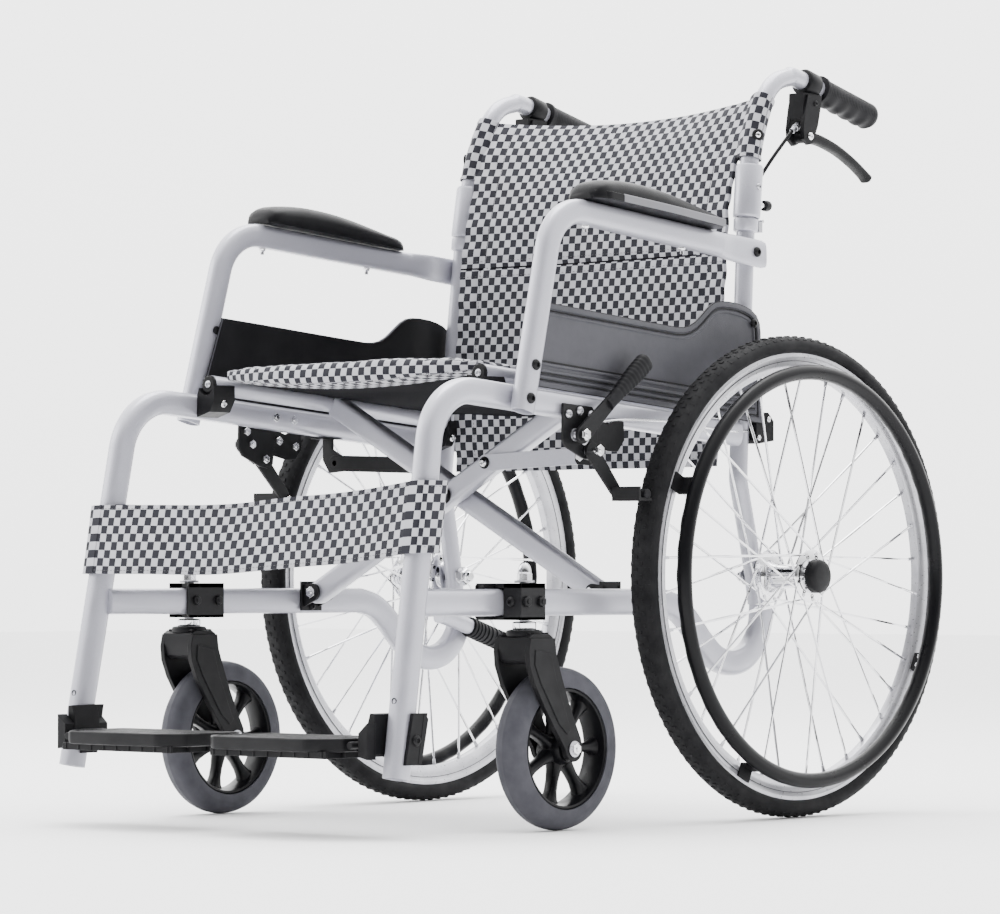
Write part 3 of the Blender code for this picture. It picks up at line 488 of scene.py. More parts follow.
    def side(self, outline, s, near, far, mat):
        """A prism along X on side s, its outline as (y from the axle, z)."""
        low, high = sorted((s * near, s * far))
        return self.plate([(y + Y_AXLE, z) for y, z in outline], "X", low, high, mat)

    def across(self, outline, y0, y1, mat):
        """A prism along Y between two distances from the axle, its outline as (x, z)."""
        return self.plate(outline, "Y", y0 + Y_AXLE, y1 + Y_AXLE, mat)

    def slab(self, s, xs, ys, zs, mat):
        """A box on side s, its ys from the axle."""
        low, high = sorted((s * xs[0], s * xs[1]))
        return self.box((low, ys[0] + Y_AXLE, zs[0]), (high, ys[1] + Y_AXLE, zs[1]), mat)

    def join(self, other, change):
        """Takes in another Build, moved."""
        moved = [change @ v for v in other.verts]
        shift = len(self.verts)
        self.verts += moved
        self.faces += [tuple(shift + i for i in f) for f in other.faces]
        for mat in other.mats:
            if mat not in self.mats:
                self.mats.append(mat)
        self.slots += [self.mats.index(other.mats[i]) for i in other.slots]
        self.uvs += other.uvs
        return self

    def box(self, low, high, mat):
        outline = [(low[0], low[1]), (high[0], low[1]), (high[0], high[1]), (low[0], high[1])]
        return self.plate(outline, "Z", low[2], high[2], mat)

    def bolt(self, point, axis, radius, tall, mat=CHROME, kind="button"):
        """A screw head standing on point: button with a hex socket, or a hexagon nut."""
        if kind == "hex":
            self.turned(point, axis, [(0, radius), (tall * 0.8, radius), (tall, radius * 0.86)], mat, 6)
            return self.turned(point, axis, [(tall * 0.9, radius * 0.45), (tall * 1.3, radius * 0.42)], mat,
                               10)
        dome = [(0, radius), (tall * 0.35, radius), (tall * 0.75, radius * 0.86), (tall, radius * 0.52),
                (tall, radius * 0.45), (tall * 0.45, radius * 0.42), (tall * 0.45, 0.0001)]
        return self.turned(point, axis, dome, mat, 18)


def disc(centre, radius, count=24, start=0.0, end=2 * math.pi):
    step = (end - start) / count
    extra = 1 if end - start < 6.2 else 0
    return [(centre[0] + radius * math.cos(start + step * i), centre[1] + radius * math.sin(start + step * i))
            for i in range(count + extra)]


def capsule(first, last, radius_first, radius_last, steps=10):
    angle = math.atan2(last[1] - first[1], last[0] - first[0])
    start = disc(first, radius_first, steps, angle + math.pi / 2, angle + math.pi * 1.5)
    return start + disc(last, radius_last, steps, angle - math.pi / 2, angle + math.pi / 2)


def oval(width, height, power=2.7, count=32):
    """Superellipse section, between an ellipse and a rounded box."""
    points = []
    for i in range(count):
        a = 2 * math.pi * (i + 0.5) / count
        c, v = math.cos(a), math.sin(a)
        points.append((width / 2 * math.copysign(abs(c) ** (2 / power), c),
                       height / 2 * math.copysign(abs(v) ** (2 / power), v)))
    return points


def round_section(radius, count=24):
    return oval(radius * 2, radius * 2, 2.0, count)


def rounded_path(points, radius, steps=10):
    """Straight runs with their corners replaced by arcs."""
    points = [Vector(p) for p in points]
    path = [points[0]]
    for before, corner, after in zip(points, points[1:], points[2:]):
        a, b = (before - corner), (after - corner)
        room = min(a.length, b.length) * 0.49
        a.normalize()
        b.normalize()
        half = a.angle(b) / 2
        cut = min(radius / math.tan(half), room)
        r = cut * math.tan(half)
        centre = corner + (a + b).normalized() * (r / math.sin(half))
        start, end = corner + a * cut - centre, corner + b * cut - centre
        for i in range(steps + 1):
            path.append(centre + start.slerp(end, i / steps, start).normalized() * start.length)
    path.append(points[-1])
    return path


def smooth_path(points, per=8):
    """Catmull-Rom curve through the points."""
    points = [Vector(p) for p in points]
    ends = [points[0] * 2 - points[1]] + points + [points[-1] * 2 - points[-2]]
    path = []
    for a, b, c, d in zip(ends, ends[1:], ends[2:], ends[3:]):
        for i in range(per):
            t = i / per
            path.append(0.5 * (2 * b + (c - a) * t + (2 * a - 5 * b + 4 * c - d) * t * t
                               + (3 * b - a - 3 * c + d) * t ** 3))
    return path + [points[-1]]


def ease(t):
    t = min(1.0, max(0.0, t))
    return t * t * (3 - 2 * t)


# ---- side frames -------------------------------------------------------------------------
def side_tube(tag, s):
    b = Build()
    corner = place(s * X_FRAME, CORNER_Y, CORNER_Z)
    path = rounded_path([place(s * upright_x(FOOT_Z), upright_y(FOOT_Z), FOOT_Z), corner,
                         place(s * X_FRAME, -0.0395, rail_z(-0.0395))], SIDE_BEND_R, 18)
    b.sweep(path, oval(TUBE_W, TUBE_H, 2.9), PEARL, hollow=0.0022)
    rear = place(s * X_FRAME, -0.04, rail_z(-0.04))
    b.turned(rear, (0, 1, RAIL_SLOPE), [(-0.004, 0.0085), (0.001, 0.0085), (0.0015, 0.006)], BLACK, 24)
    z = 0.147
    front = place(s * upright_x(z), upright_y(z) - TUBE_H / 2 - 0.0001, z)
    b.turned(front, (0, -1, 0), [(-0.002, 0.0034), (0.0006, 0.0034), (0.0006, 0.0026), (-0.001, 0.0024)],
             BLACK, 16)
    b.done("side_frame_tube_" + tag, "frame_" + tag, "frame_paint", ["side_tube_" + tag])


def rear_post(tag, s):
    b = Build()
    points = [(0.0, 0.2485), (-0.0045, 0.28), (-0.013, 0.322), (-0.029, 0.392), (-0.0105, 0.603),
              (-0.0015, HINGE_Z - 0.0005)]
    path = rounded_path([place(s * post_x(z), y, z) for y, z in points], 0.05, 6)
    b.sweep(path, round_section(POST_R), PEARL)
    low, high = place(s * post_x(0.684), -0.003, 0.684), place(s * post_x(HINGE_Z), -0.0015, HINGE_Z - 0.0006)
    b.turned(low, high - low, [(0, 0.0112), (0.0012, 0.0138), (0.003, 0.0146), ((high - low).length, 0.0146)],
             PEARL, 28)
    x = post_x(0.28)
    b.turned(place(s * (x - 0.0135), -0.0045, 0.28), (s, 0, 0),
             [(0, 0.0085), (0.0012, 0.01), (0.0018, 0.01), (0.0022, 0.007)], ZINC, 20)
    b.done("back_post_" + tag, "frame_" + tag, "frame_paint", ["rear_post_" + tag])
    d = Build()
    hinge = place(s * post_x(HINGE_Z), HINGE_Y - 0.0016, HINGE_Z - 0.009)
    d.box(hinge + Vector((-0.0075, -0.004, -0.006)), hinge + Vector((0.0075, 0.0035, 0.007)), ZINC)
    d.rod(hinge + Vector((-0.0095, 0.0022, 0.0072)), hinge + Vector((0.0095, 0.0022, 0.0072)), 0.0022, CHROME)
    d.done("back_hinge_" + tag, "frame_" + tag, "chrome", bevel=0.0006)


def lower_rail(tag, s):
    b = Build()
    points = [(-0.5925, LOWER_Z), (-0.175, LOWER_Z), (-0.15, 0.244), (-0.128, 0.229), (-0.101, 0.203),
              (-0.078, 0.186), (-0.052, 0.1795), (-0.026, 0.1845), (-0.0055, 0.201), (0.006, 0.224),
              (0.0085, 0.246)]
    ends = [place(s * X_FRAME, *points[0])]
    curve = smooth_path([place(s * X_FRAME, *p) for p in points[1:]], 5)
    b.sweep(ends + curve, oval(RAIL_W, RAIL_H, 3.0), PEARL)
    b.done("lower_frame_rail_" + tag, "frame_" + tag, "frame_paint", ["lower_rail_" + tag])


def arm_tube(tag, s):
    b = Build()
    x_low, x_high = X_FRAME + 0.0236, X_FRAME + 0.013
    path = rounded_path([place(s * x_low, -0.44, 0.46), place(s * x_low, ARM_CORNER_Y, ARM_CORNER_Z),
                         place(s * x_high, -0.08, 0.665)], 0.058, 16)
    b.sweep(path, oval(0.02, 0.028, 3.0), PEARL, hollow=0.002)
    stations = [(-0.106, 0.0085, 0.0135, 0.0), (-0.085, 0.008, 0.0138, 0.0), (-0.062, 0.0058, 0.0152, 0.0012),
                (-0.045, 0.0048, 0.016, 0.0018), (0.005, 0.0046, 0.0165, 0.0018),
                (0.0115, 0.0044, 0.015, 0.0018)]
    rings = []
    for y, half_wide, half_tall, inward in stations:
        z = arm_z(y) + 0.0005
        x = X_FRAME + 0.01 + (0.003 if y < -0.08 else 0.0) - inward
        rings.append([place(s * (x + a * half_wide / 0.5), y, z + c * half_tall / 0.5)
                      for a, c in oval(1, 1, 3.2)])
    b.loft(rings, PEARL)
    for y, z, r in ((-0.427, 0.511, 0.0062), (-0.4365, 0.474, 0.0062)):
        b.bolt(place(s * (x_low + 0.0098), y, z), (s, 0, 0), r, 0.0036, BLACK_METAL)
    b.bolt(place(s * (X_FRAME + 0.0135), -0.008, 0.66), (s, 0, 0), 0.006, 0.0035, BLACK_METAL)
    for y in (-0.325, -0.15):
        z = arm_z(y) - 0.014
        x = x_low - (y - ARM_CORNER_Y) * 0.0306
        b.bolt(place(s * x, y, z), (0, 0, -1), 0.0042, 0.004, CHROME)
        b.rod(place(s * x, y, z), place(s * x, y, z - 0.0075), 0.0022, CHROME, 10)
    b.move(lambda v: lean(v, s))
    b.done("arm_frame_" + tag, "frame_" + tag, "frame_paint", ["arm_tube_" + tag])


def arm_pad(tag, s):
    """Crowned upholstered pad on a moulded base strip with a front cap; the strip is grey along the outer
    side as a painted highlight.
    """
    b = Build()
    rings, count, steps = [], 36, 40
    y0, y1 = -0.331, -0.095
    for k in range(steps + 1):
        t = k / steps
        y = y0 + (y1 - y0) * t
        end = min(t * (y1 - y0) / 0.02, (1 - t) * (y1 - y0) / 0.026, 1.0)
        round_in = math.sqrt(max(0.0, 1 - (1 - end) ** 2)) * 0.93 + 0.07
        half = (0.0275 - 0.006 * ease((t - 0.45) / 0.55)) * (0.62 + 0.38 * round_in)
        crown = 0.018 + 0.011 * math.sin(math.pi * min(1.0, t * 1.12) ** 0.8) - 0.003 * t
        tall = crown * (0.35 + 0.65 * round_in)
        top = arm_z(y) + 0.015
        x = pad_x(y)
        ring = []
        for i in range(count):
            a = 2 * math.pi * i / count
            c, v = math.cos(a), math.sin(a)
            px = half * math.copysign(abs(c) ** 0.62, c)
            pz = tall * (abs(v) ** 0.72) if v > 0 else -0.0009 * abs(v) ** 0.5
            pinch = 1 - 0.035 * math.exp(-((pz - 0.0075) / 0.0016) ** 2)
            ring.append(place(s * (x + px * pinch), y, top + pz + 0.0006))
        rings.append(ring)
    b.loft(rings, LEATHER)
    b.move(lambda v: lean(v, s))
    pad = b.done("arm_pad_top_" + tag, "frame_" + tag, "arm_pad", ["arm_pad_" + tag], angle=60)
    d = Build()
    # The grey strip on the outer side is a painted highlight, standing for the pad side's reflection; the
    # black piece is the front cap.
    for near, far, mat, y_from, y_to in ((0.0268, 0.0284, HIGHLIGHT_STRIP, -0.29, -0.1),
                                         (0.02, 0.0288, BLACK, -0.329, -0.2905)):
        strip = []
        for k in range(13):
            y = y_from + (y_to - y_from) * k / 12
            t = (y - y0) / (y1 - y0)
            shrink = 0.006 * ease((t - 0.45) / 0.55)
            top = arm_z(y) + 0.015
            x = pad_x(y) - shrink
            if mat is BLACK:
                x -= 0.009 * (1 - ease((y - y_from) / 0.016))
            strip.append([place(s * (x + far), y, top + 0.0005), place(s * (x + far), y, top + 0.0085),
                          place(s * (x + near), y, top + 0.0098),
                          place(s * (x + near - 0.004), y, top + 0.0005)])
        d.loft(strip, mat)
    d.move(lambda v: lean(v, s))
    d.done("arm_pad_trim_" + tag, "frame_" + tag, "black_plastic", bevel=0.0006)


def panel_outline(inset):
    """Outer line of the side guard as (y, z), moved inwards, its top rear corner in a round hump."""
    top = [(-0.002, 0.566), (-0.0032, 0.576), (-0.0085, 0.585), (-0.018, 0.5912), (-0.03, 0.5952),
           (-0.044, 0.5978), (-0.06, 0.5992), (-0.074, 0.599), (-0.085, 0.5972), (-0.095, 0.5925),
           (-0.104, 0.586), (-0.113, 0.579), (-0.122, 0.5728), (-0.132, 0.5682), (-0.143, 0.5658),
           (-0.156, 0.5654), (-0.2, 0.5687), (-0.27, 0.5743), (-0.34, 0.58), (-0.401, 0.5848)]
    base = [(y, panel_base(y)) for y in (-0.432, -0.32, -0.2, -0.002)]
    points = [Vector(p) for p in base + top]
    if not inset:
        return [tuple(p) for p in points]
    n = len(points)
    moved = []
    for i, p in enumerate(points):
        a = (p - points[i - 1]).normalized()
        c = (points[(i + 1) % n] - p).normalized()
        normal = Vector((-(a + c).y, (a + c).x)).normalized()
        scale = inset / max(0.35, normal.dot(Vector((-a.y, a.x))))
        moved.append(tuple(p + normal * scale))
    return moved


def side_panel(tag, s):
    """Side guard: a thin shell with a stepped border, two ridges above the rail and a dark inner face; thin
    black lines beside the ridges and along the border are painted groove shade.
    """
    b = Build()
    near, far = X_FRAME + 0.0084, X_FRAME + 0.0116
    levels = [(0.0, near), (0.0, far - 0.0004), (0.0006, far), (0.0058, far), (0.007, far - 0.0012),
              (0.0098, far - 0.0012), (0.011, far - 0.0002), (0.0128, far - 0.0002), (0.0142, far - 0.0013)]
    rings = [[place(s * x, y, z) for y, z in panel_outline(inset)] for inset, x in levels]
    b.loft(rings, PANEL)
    ridge, line = oval(0.0032, 0.0036, 2.2, 14), oval(0.001, 0.0018, 2.0, 8)
    # The two black lines just below and above the ridges are painted shade along the foot of the raised
    # ridges.
    for rise, x, section, mat in ((0.0185, far - 0.001, ridge, PANEL), (0.026, far - 0.001, ridge, PANEL),
                                  (0.0155, far + 0.0001, line, BLACK), (0.029, far + 0.0001, line, BLACK)):
        path = [place(s * x, y, panel_base(y) + rise) for y in (-0.412, -0.3, -0.2, -0.1, -0.017)]
        b.sweep(path, section, mat)
    # Black lines at the rim and in the border's groove: painted shade.
    for inset in (0.0004, 0.0084):
        path = [place(s * (far - 0.0008), y, z) for y, z in panel_outline(inset)]
        b.sweep(path + path[:1], oval(0.0016, 0.0018, 2.0, 8), BLACK)
    b.side(panel_outline(0.0008), s, near - 0.0006, near + 0.0002, BLACK)
    b.bolt(place(s * far, -0.015, 0.576), (s, 0, 0), 0.0055, 0.003, BLACK_METAL)
    b.bolt(place(s * far, -0.408, 0.57), (s, 0, 0), 0.005, 0.0028, BLACK_METAL)
    b.move(lambda v: lean(v, s))
    b.done("side_guard_" + tag, "frame_" + tag, "panel", ["side_panel_" + tag])


def rail_fittings(tag, s):
    """Screws along the seat rail and the cradles that the seat tube drops into."""
    b = Build()
    inner = X_FRAME - TUBE_W / 2
    for y in (-0.3314, -0.301):
        b.bolt(place(s * (inner + 0.0004), y, rail_z(y)), (-s, 0, 0), 0.0058, 0.0042, CHROME, "hex")
    for y0, y1 in ((-0.46, -0.426), (-0.056, -0.042)):
        z0 = rail_z((y0 + y1) / 2)
        cup = [(s * (inner + 0.0003), z0 - 0.012), (s * (inner + 0.0003), z0 + 0.014),
               (s * (SEAT_TUBE_X + 0.0125), z0 + 0.02)]
        cup += [(s * (SEAT_TUBE_X + 0.0118 * math.cos(a)), z0 + SEAT_TUBE_UP + 0.0118 * math.sin(a))
                for a in [-math.pi * i / 14 for i in range(1, 14)]]
        cup += [(s * (SEAT_TUBE_X - 0.0135), z0 + 0.025), (s * (SEAT_TUBE_X - 0.014), z0 + 0.008),
                (s * (SEAT_TUBE_X - 0.006), z0 - 0.006)]
        b.across(cup, y0, y1, BLACK)
        b.bolt(place(s * (SEAT_TUBE_X - 0.012), (y0 + y1) / 2, z0 + 0.004), (-s, 0, -0.4), 0.0045, 0.0035,
               CHROME)
    b.done("seat_cradles_" + tag, "frame_" + tag, "black_plastic", bevel=0.001)


def axle(tag, s):
    b = Build()
    b.turned(place(0, 0, Z_AXLE), (s, 0, 0), [(0.213, 0.005), (0.215, 0.0066), (0.216, 0.0068),
                                              (0.2262, 0.0068)],
             CHROME, 20)
    b.bolt(place(s * 0.227, 0, Z_AXLE), (-s, 0, 0), 0.0108, 0.008, CHROME, "hex")
    b.turned(place(0, 0, Z_AXLE), (s, 0, 0), [(0.2268, 0.012), (0.2282, 0.012)], ZINC, 24)
    b.turned(place(0, 0, Z_AXLE), (s, 0, 0), [(0.225, 0.0058), (HUB_OUT, 0.0058)], CHROME, 16)
    b.done("axle_bolt_" + tag, "frame_" + tag, "chrome", ["axle_" + tag], bevel=0.0004)


def tipping_lever():
    b = Build()
    x = -(X_FRAME - RAIL_W / 2 - 0.0125)
    path = smooth_path([place(x, y, z) for y, z in ((-0.056, 0.232), (-0.03, 0.226), (0.0, 0.217),
                                                    (0.04, 0.2045), (0.1, 0.1865))], 6)
    b.sweep(path, oval(0.019, 0.019, 2.4), PEARL)
    boot = path[len(path) // 2:]
    for k, point in enumerate(boot):
        along = (boot[min(k + 1, len(boot) - 1)] - boot[max(k - 1, 0)]).normalized()
        b.turned(point, along, [(-0.0026, 0.0112), (-0.0018, 0.0126), (0.0018, 0.0126), (0.0026, 0.0112)],
                 GRIP, 24)
    b.sweep(boot, round_section(0.0114), GRIP)
    b.done("tipping_foot_lever", "frame_right", "black_plastic", ["tipping_lever"])


# ---- rear wheels -------------------------------------------------------------------------
def rear_tyre(tag, s):
    """Black tyre: a ribbed carcass with staggered tread blocks and shoulder lugs."""
    b = Build()
    centre = place(s * WHEEL_X, 0, Z_AXLE)
    half = 0.0175
    profile = [(-0.0118, RIM_R + 0.0006), (0.0118, RIM_R + 0.0006), (0.015, 0.2618), (half, 0.266),
               (half - 0.0004, 0.2698), (half - 0.0022, 0.2732), (0.011, 0.2772), (0.0055, 0.2788),
               (0, 0.2791),
               (-0.0055, 0.2788), (-0.011, 0.2772), (-half + 0.0022, 0.2732), (-half + 0.0004, 0.2698),
               (-half, 0.266), (-0.015, 0.2618)]
    b.turned(centre, (s, 0, 0), profile, TYRE, 120, closed=True)
    count = 124
    for k in range(count):
        for column, (x0, x1, r, shift) in enumerate(((0.0008, 0.0066, 0.27985, 0.0),
                                                     (-0.0066, -0.0008, 0.27985, 0.5),
                                                     (0.0082, 0.0146, 0.2784, 0.5),
                                                     (-0.0146, -0.0082, 0.2784, 0.0))):
            a = 2 * math.pi * (k + shift) / count
            block = []
            for level, shrink in ((r - 0.003, 1.0), (r, 0.82)):
                drop = 0.003 if column > 1 else 0.0
                for x, da in ((x0, -1), (x1, -1), (x1, 1), (x0, 1)):
                    edge = abs(x) > 0.012
                    mid = (x0 + x1) / 2
                    near_x = mid + (x - mid) * shrink
                    angle = a + da * 0.0056 * (1.9 if column > 1 else 1.55) * shrink
                    radius = level - (drop if edge else 0.0)
                    block.append(centre + Vector((s * near_x, -radius * math.sin(angle),
                                                  radius * math.cos(angle))))
            b.add(block, [(0, 1, 2, 3), (4, 5, 6, 7), (0, 1, 5, 4), (1, 2, 6, 5), (2, 3, 7, 6), (3, 0, 4, 7)],
                  TYRE)
    b.done("tread_tyre_" + tag, "wheel_" + tag, "tyre", ["tyre_" + tag])


def rear_wheel(tag, s):
    """Alloy rim with a black ring on each face as painted groove shade, crossed spokes with nipples, a flange
    hub with black discs painted as the shade of drilled holes, and a dark end cap.
    """
    b = Build()
    centre = place(s * WHEEL_X, 0, Z_AXLE)
    rim = [(-0.0118, 0.2596), (-0.0118, 0.256), (-0.0108, 0.2548), (-0.0104, 0.247), (-0.0092, 0.243),
           (-0.0062, 0.2388), (-0.005, 0.2374), (0, 0.2366), (0.005, 0.2374), (0.0062, 0.2388),
           (0.0092, 0.243),
           (0.0104, 0.247), (0.0108, 0.2548), (0.0118, 0.256), (0.0118, 0.2596), (0.01, 0.26), (-0.01, 0.26)]
    b.turned(centre, (s, 0, 0), rim, ALLOY, 120, closed=True)
    # A thin black ring on each face of the rim is painted shade, standing for the rim's dark groove.
    for x in (-0.0107, 0.0107):
        groove_shade_ring = [(x - 0.0004, 0.2503), (x + 0.0004, 0.2503), (x + 0.0004, 0.2509), (x - 0.0004, 0.2509)]
        b.turned(centre, (s, 0, 0), groove_shade_ring, BLACK_METAL, 96, closed=True)
    count = 36
    for k in range(count):
        rim_a = 2 * math.pi * (k + 0.5) / count
        outer = k % 2
        lead = 1 if (k // 2) % 2 else -1
        hub_a = rim_a + lead * math.radians(62)
        x = (HUB_OUT - 0.0035 if outer else HUB_IN + 0.0035) + (0.0012 if (k // 2) % 2 else -0.0012)
        start = Vector((s * x, Y_AXLE, Z_AXLE)) + Vector((0, math.sin(hub_a), math.cos(hub_a))) * 0.0268
        end = centre + Vector((s * (0.0022 if outer else -0.0022), 0, 0)) + Vector(
            (0, math.sin(rim_a), math.cos(rim_a))) * 0.2372
        b.rod(start, end, 0.0014, CHROME, 8)
        along = (start - end).normalized()
        b.turned(end, along, [(-0.001, 0.0024), (0.0024, 0.0023), (0.0034, 0.002), (0.0068, 0.0019),
                              (0.0074, 0.0015)],
                 ZINC, 10)
        b.turned(start, (s, 0, 0), [(-0.0016, 0.002), (-0.001, 0.0024), (0.001, 0.0024), (0.0016, 0.002)],
                 CHROME, 10)
    hub = [(HUB_IN - 0.0028, 0.007), (HUB_IN - 0.0028, 0.014), (HUB_IN - 0.001, 0.0168),
           (HUB_IN + 0.0015, 0.0185),
           (HUB_IN + 0.0018, 0.03), (HUB_IN + 0.0026, 0.031), (HUB_IN + 0.0042, 0.031),
           (HUB_IN + 0.005, 0.03),
           (HUB_IN + 0.0054, 0.019), (HUB_IN + 0.011, 0.015), (HUB_IN + 0.02, 0.0138),
           (HUB_OUT - 0.02, 0.0138),
           (HUB_OUT - 0.011, 0.015), (HUB_OUT - 0.0054, 0.019), (HUB_OUT - 0.005, 0.03),
           (HUB_OUT - 0.0042, 0.031), (HUB_OUT - 0.0026, 0.031), (HUB_OUT - 0.0018, 0.03),
           (HUB_OUT - 0.0015, 0.02), (HUB_OUT + 0.003, 0.0195), (HUB_OUT + 0.003, 0.007)]
    b.turned(place(0, 0, Z_AXLE), (s, 0, 0), hub, CHROME, 48, closed=True)
    # The flange holes are not cut: each is a small black disc, painted shade standing for a drilled hole.
    for x, face in ((HUB_IN + 0.0016, -1), (HUB_OUT - 0.0016, 1)):
        for k in range(9):
            a = 2 * math.pi * (k + 0.5) / 9
            spot = Vector((s * x, Y_AXLE, Z_AXLE)) + Vector((0, math.sin(a), math.cos(a))) * 0.0232
            b.turned(spot, (s * face, 0, 0), [(0, 0.0024), (0.0004, 0.0024), (0.0004, 0.0018),
                                              (-0.0008, 0.0016)],
                     BLACK_METAL, 12)
    cap = [(HUB_OUT + 0.002, 0.0196), (HUB_OUT + 0.0085, 0.0194), (HUB_OUT + 0.0118, 0.0184),
           (HUB_OUT + 0.0138, 0.016), (HUB_OUT + 0.0146, 0.012), (HUB_OUT + 0.0148, 0.0001)]
    b.turned(place(0, 0, Z_AXLE), (s, 0, 0), cap, BLACK, 40)
    b.done("spoked_wheel_" + tag, "wheel_" + tag, "wheel", ["wheel_" + tag])


def handrim(tag, s):
    """Push rim: smooth outside, a row of finger bumps facing the wheel, and bolted tabs."""
    b = Build()
    centre = place(s * HANDRIM_X, 0, Z_AXLE)
    around, section, bumps = 288, 20, 48
    rings = []
    for k in range(around):
        a = 2 * math.pi * k / around
        ring = []
        for i in range(section):
            t = 2 * math.pi * i / section
            inward = max(0.0, -math.cos(t)) ** 1.5
            r = HANDRIM_TUBE - 0.0011 * inward * (0.5 - 0.5 * math.cos(a * bumps))
            dx, dr = r * math.cos(t), r * math.sin(t)
            radius = HANDRIM_R + dr
            ring.append(centre + Vector((s * dx, radius * math.sin(a), radius * math.cos(a))))
        rings.append(ring)
    b.loft(rings, GLOSS, path_closed=True)
    for k in range(4):
        turn = Matrix.Rotation(math.radians(TAB_ANGLE + 90 * k), 4, "X")
        turn = Matrix.Translation(centre - Vector((centre.x, 0, 0))) @ turn
        tab = Build()
        for far, z0, z1 in ((0.323, 0.2395, 0.242), (0.3062, 0.24, 0.256)):
            low, high = sorted((s * 0.3042, s * far))
            tab.box((low, -0.0105, z0), (high, 0.0105, z1), BLACK)
        for dy in (-0.0055, 0.0055):
            tab.bolt(Vector((s * 0.3135, dy, 0.2395)), (0, 0, -1), 0.0032, 0.0026, CHROME)
        b.join(tab, turn)
    b.done("push_rim_" + tag, "wheel_" + tag, "handrim", ["handrim_" + tag], angle=50)


# ---- casters -----------------------------------------------------------------------------
def caster_housing(tag, s):
    """Black block clamped round the lower rail, with two hexagon bolts."""
    b = Build()
    outer, inner, low, high = 0.2765, X_FRAME - 0.0135, 0.2318, 0.272
    wall = X_FRAME + RAIL_W / 2 + 0.0006
    y0, y1 = -0.457, -0.417
    b.side([(y0, low), (y1, low), (y1, high), (y0, high)], s, wall, outer, BLACK_METAL)
    front = y0 - 0.019
    cheek = [(front, low + 0.003), (front + 0.003, low), (y1, low), (y1, high), (front + 0.003, high),
             (front, high - 0.003)]
    b.side(cheek, s, inner, X_FRAME - RAIL_W / 2 - 0.0006, BLACK_METAL)
    for z0, z1 in ((low, LOWER_Z - RAIL_H / 2 - 0.0006), (LOWER_Z + RAIL_H / 2 + 0.0006, high)):
        b.side([(y0, z0), (y1, z0), (y1, z1), (y0, z1)], s, inner, outer, BLACK_METAL)
        b.side([(front + 0.002, z0), (y0, z0), (y0, z1), (front + 0.002, z1)], s, inner, X_FRAME - 0.002,
               BLACK_METAL)
    for y in (-0.449, -0.425):
        b.bolt(place(s * outer, y, 0.252), (s, 0, 0), 0.0062, 0.0042, BLACK_METAL, "hex")
    for y in (-0.462, -0.427):
        b.bolt(place(s * inner, y, 0.252), (-s, 0, 0), 0.0058, 0.0036, BLACK_METAL, "hex")
    for y, out in ((y0, -1), (y1, 1)):
        b.bolt(place(s * 0.262, y, 0.252), (0, out, 0), 0.0055, 0.0034, BLACK_METAL)
    b.done("caster_housing_block_" + tag, "frame_" + tag, "black_metal", ["caster_housing_" + tag],
           bevel=0.0012)


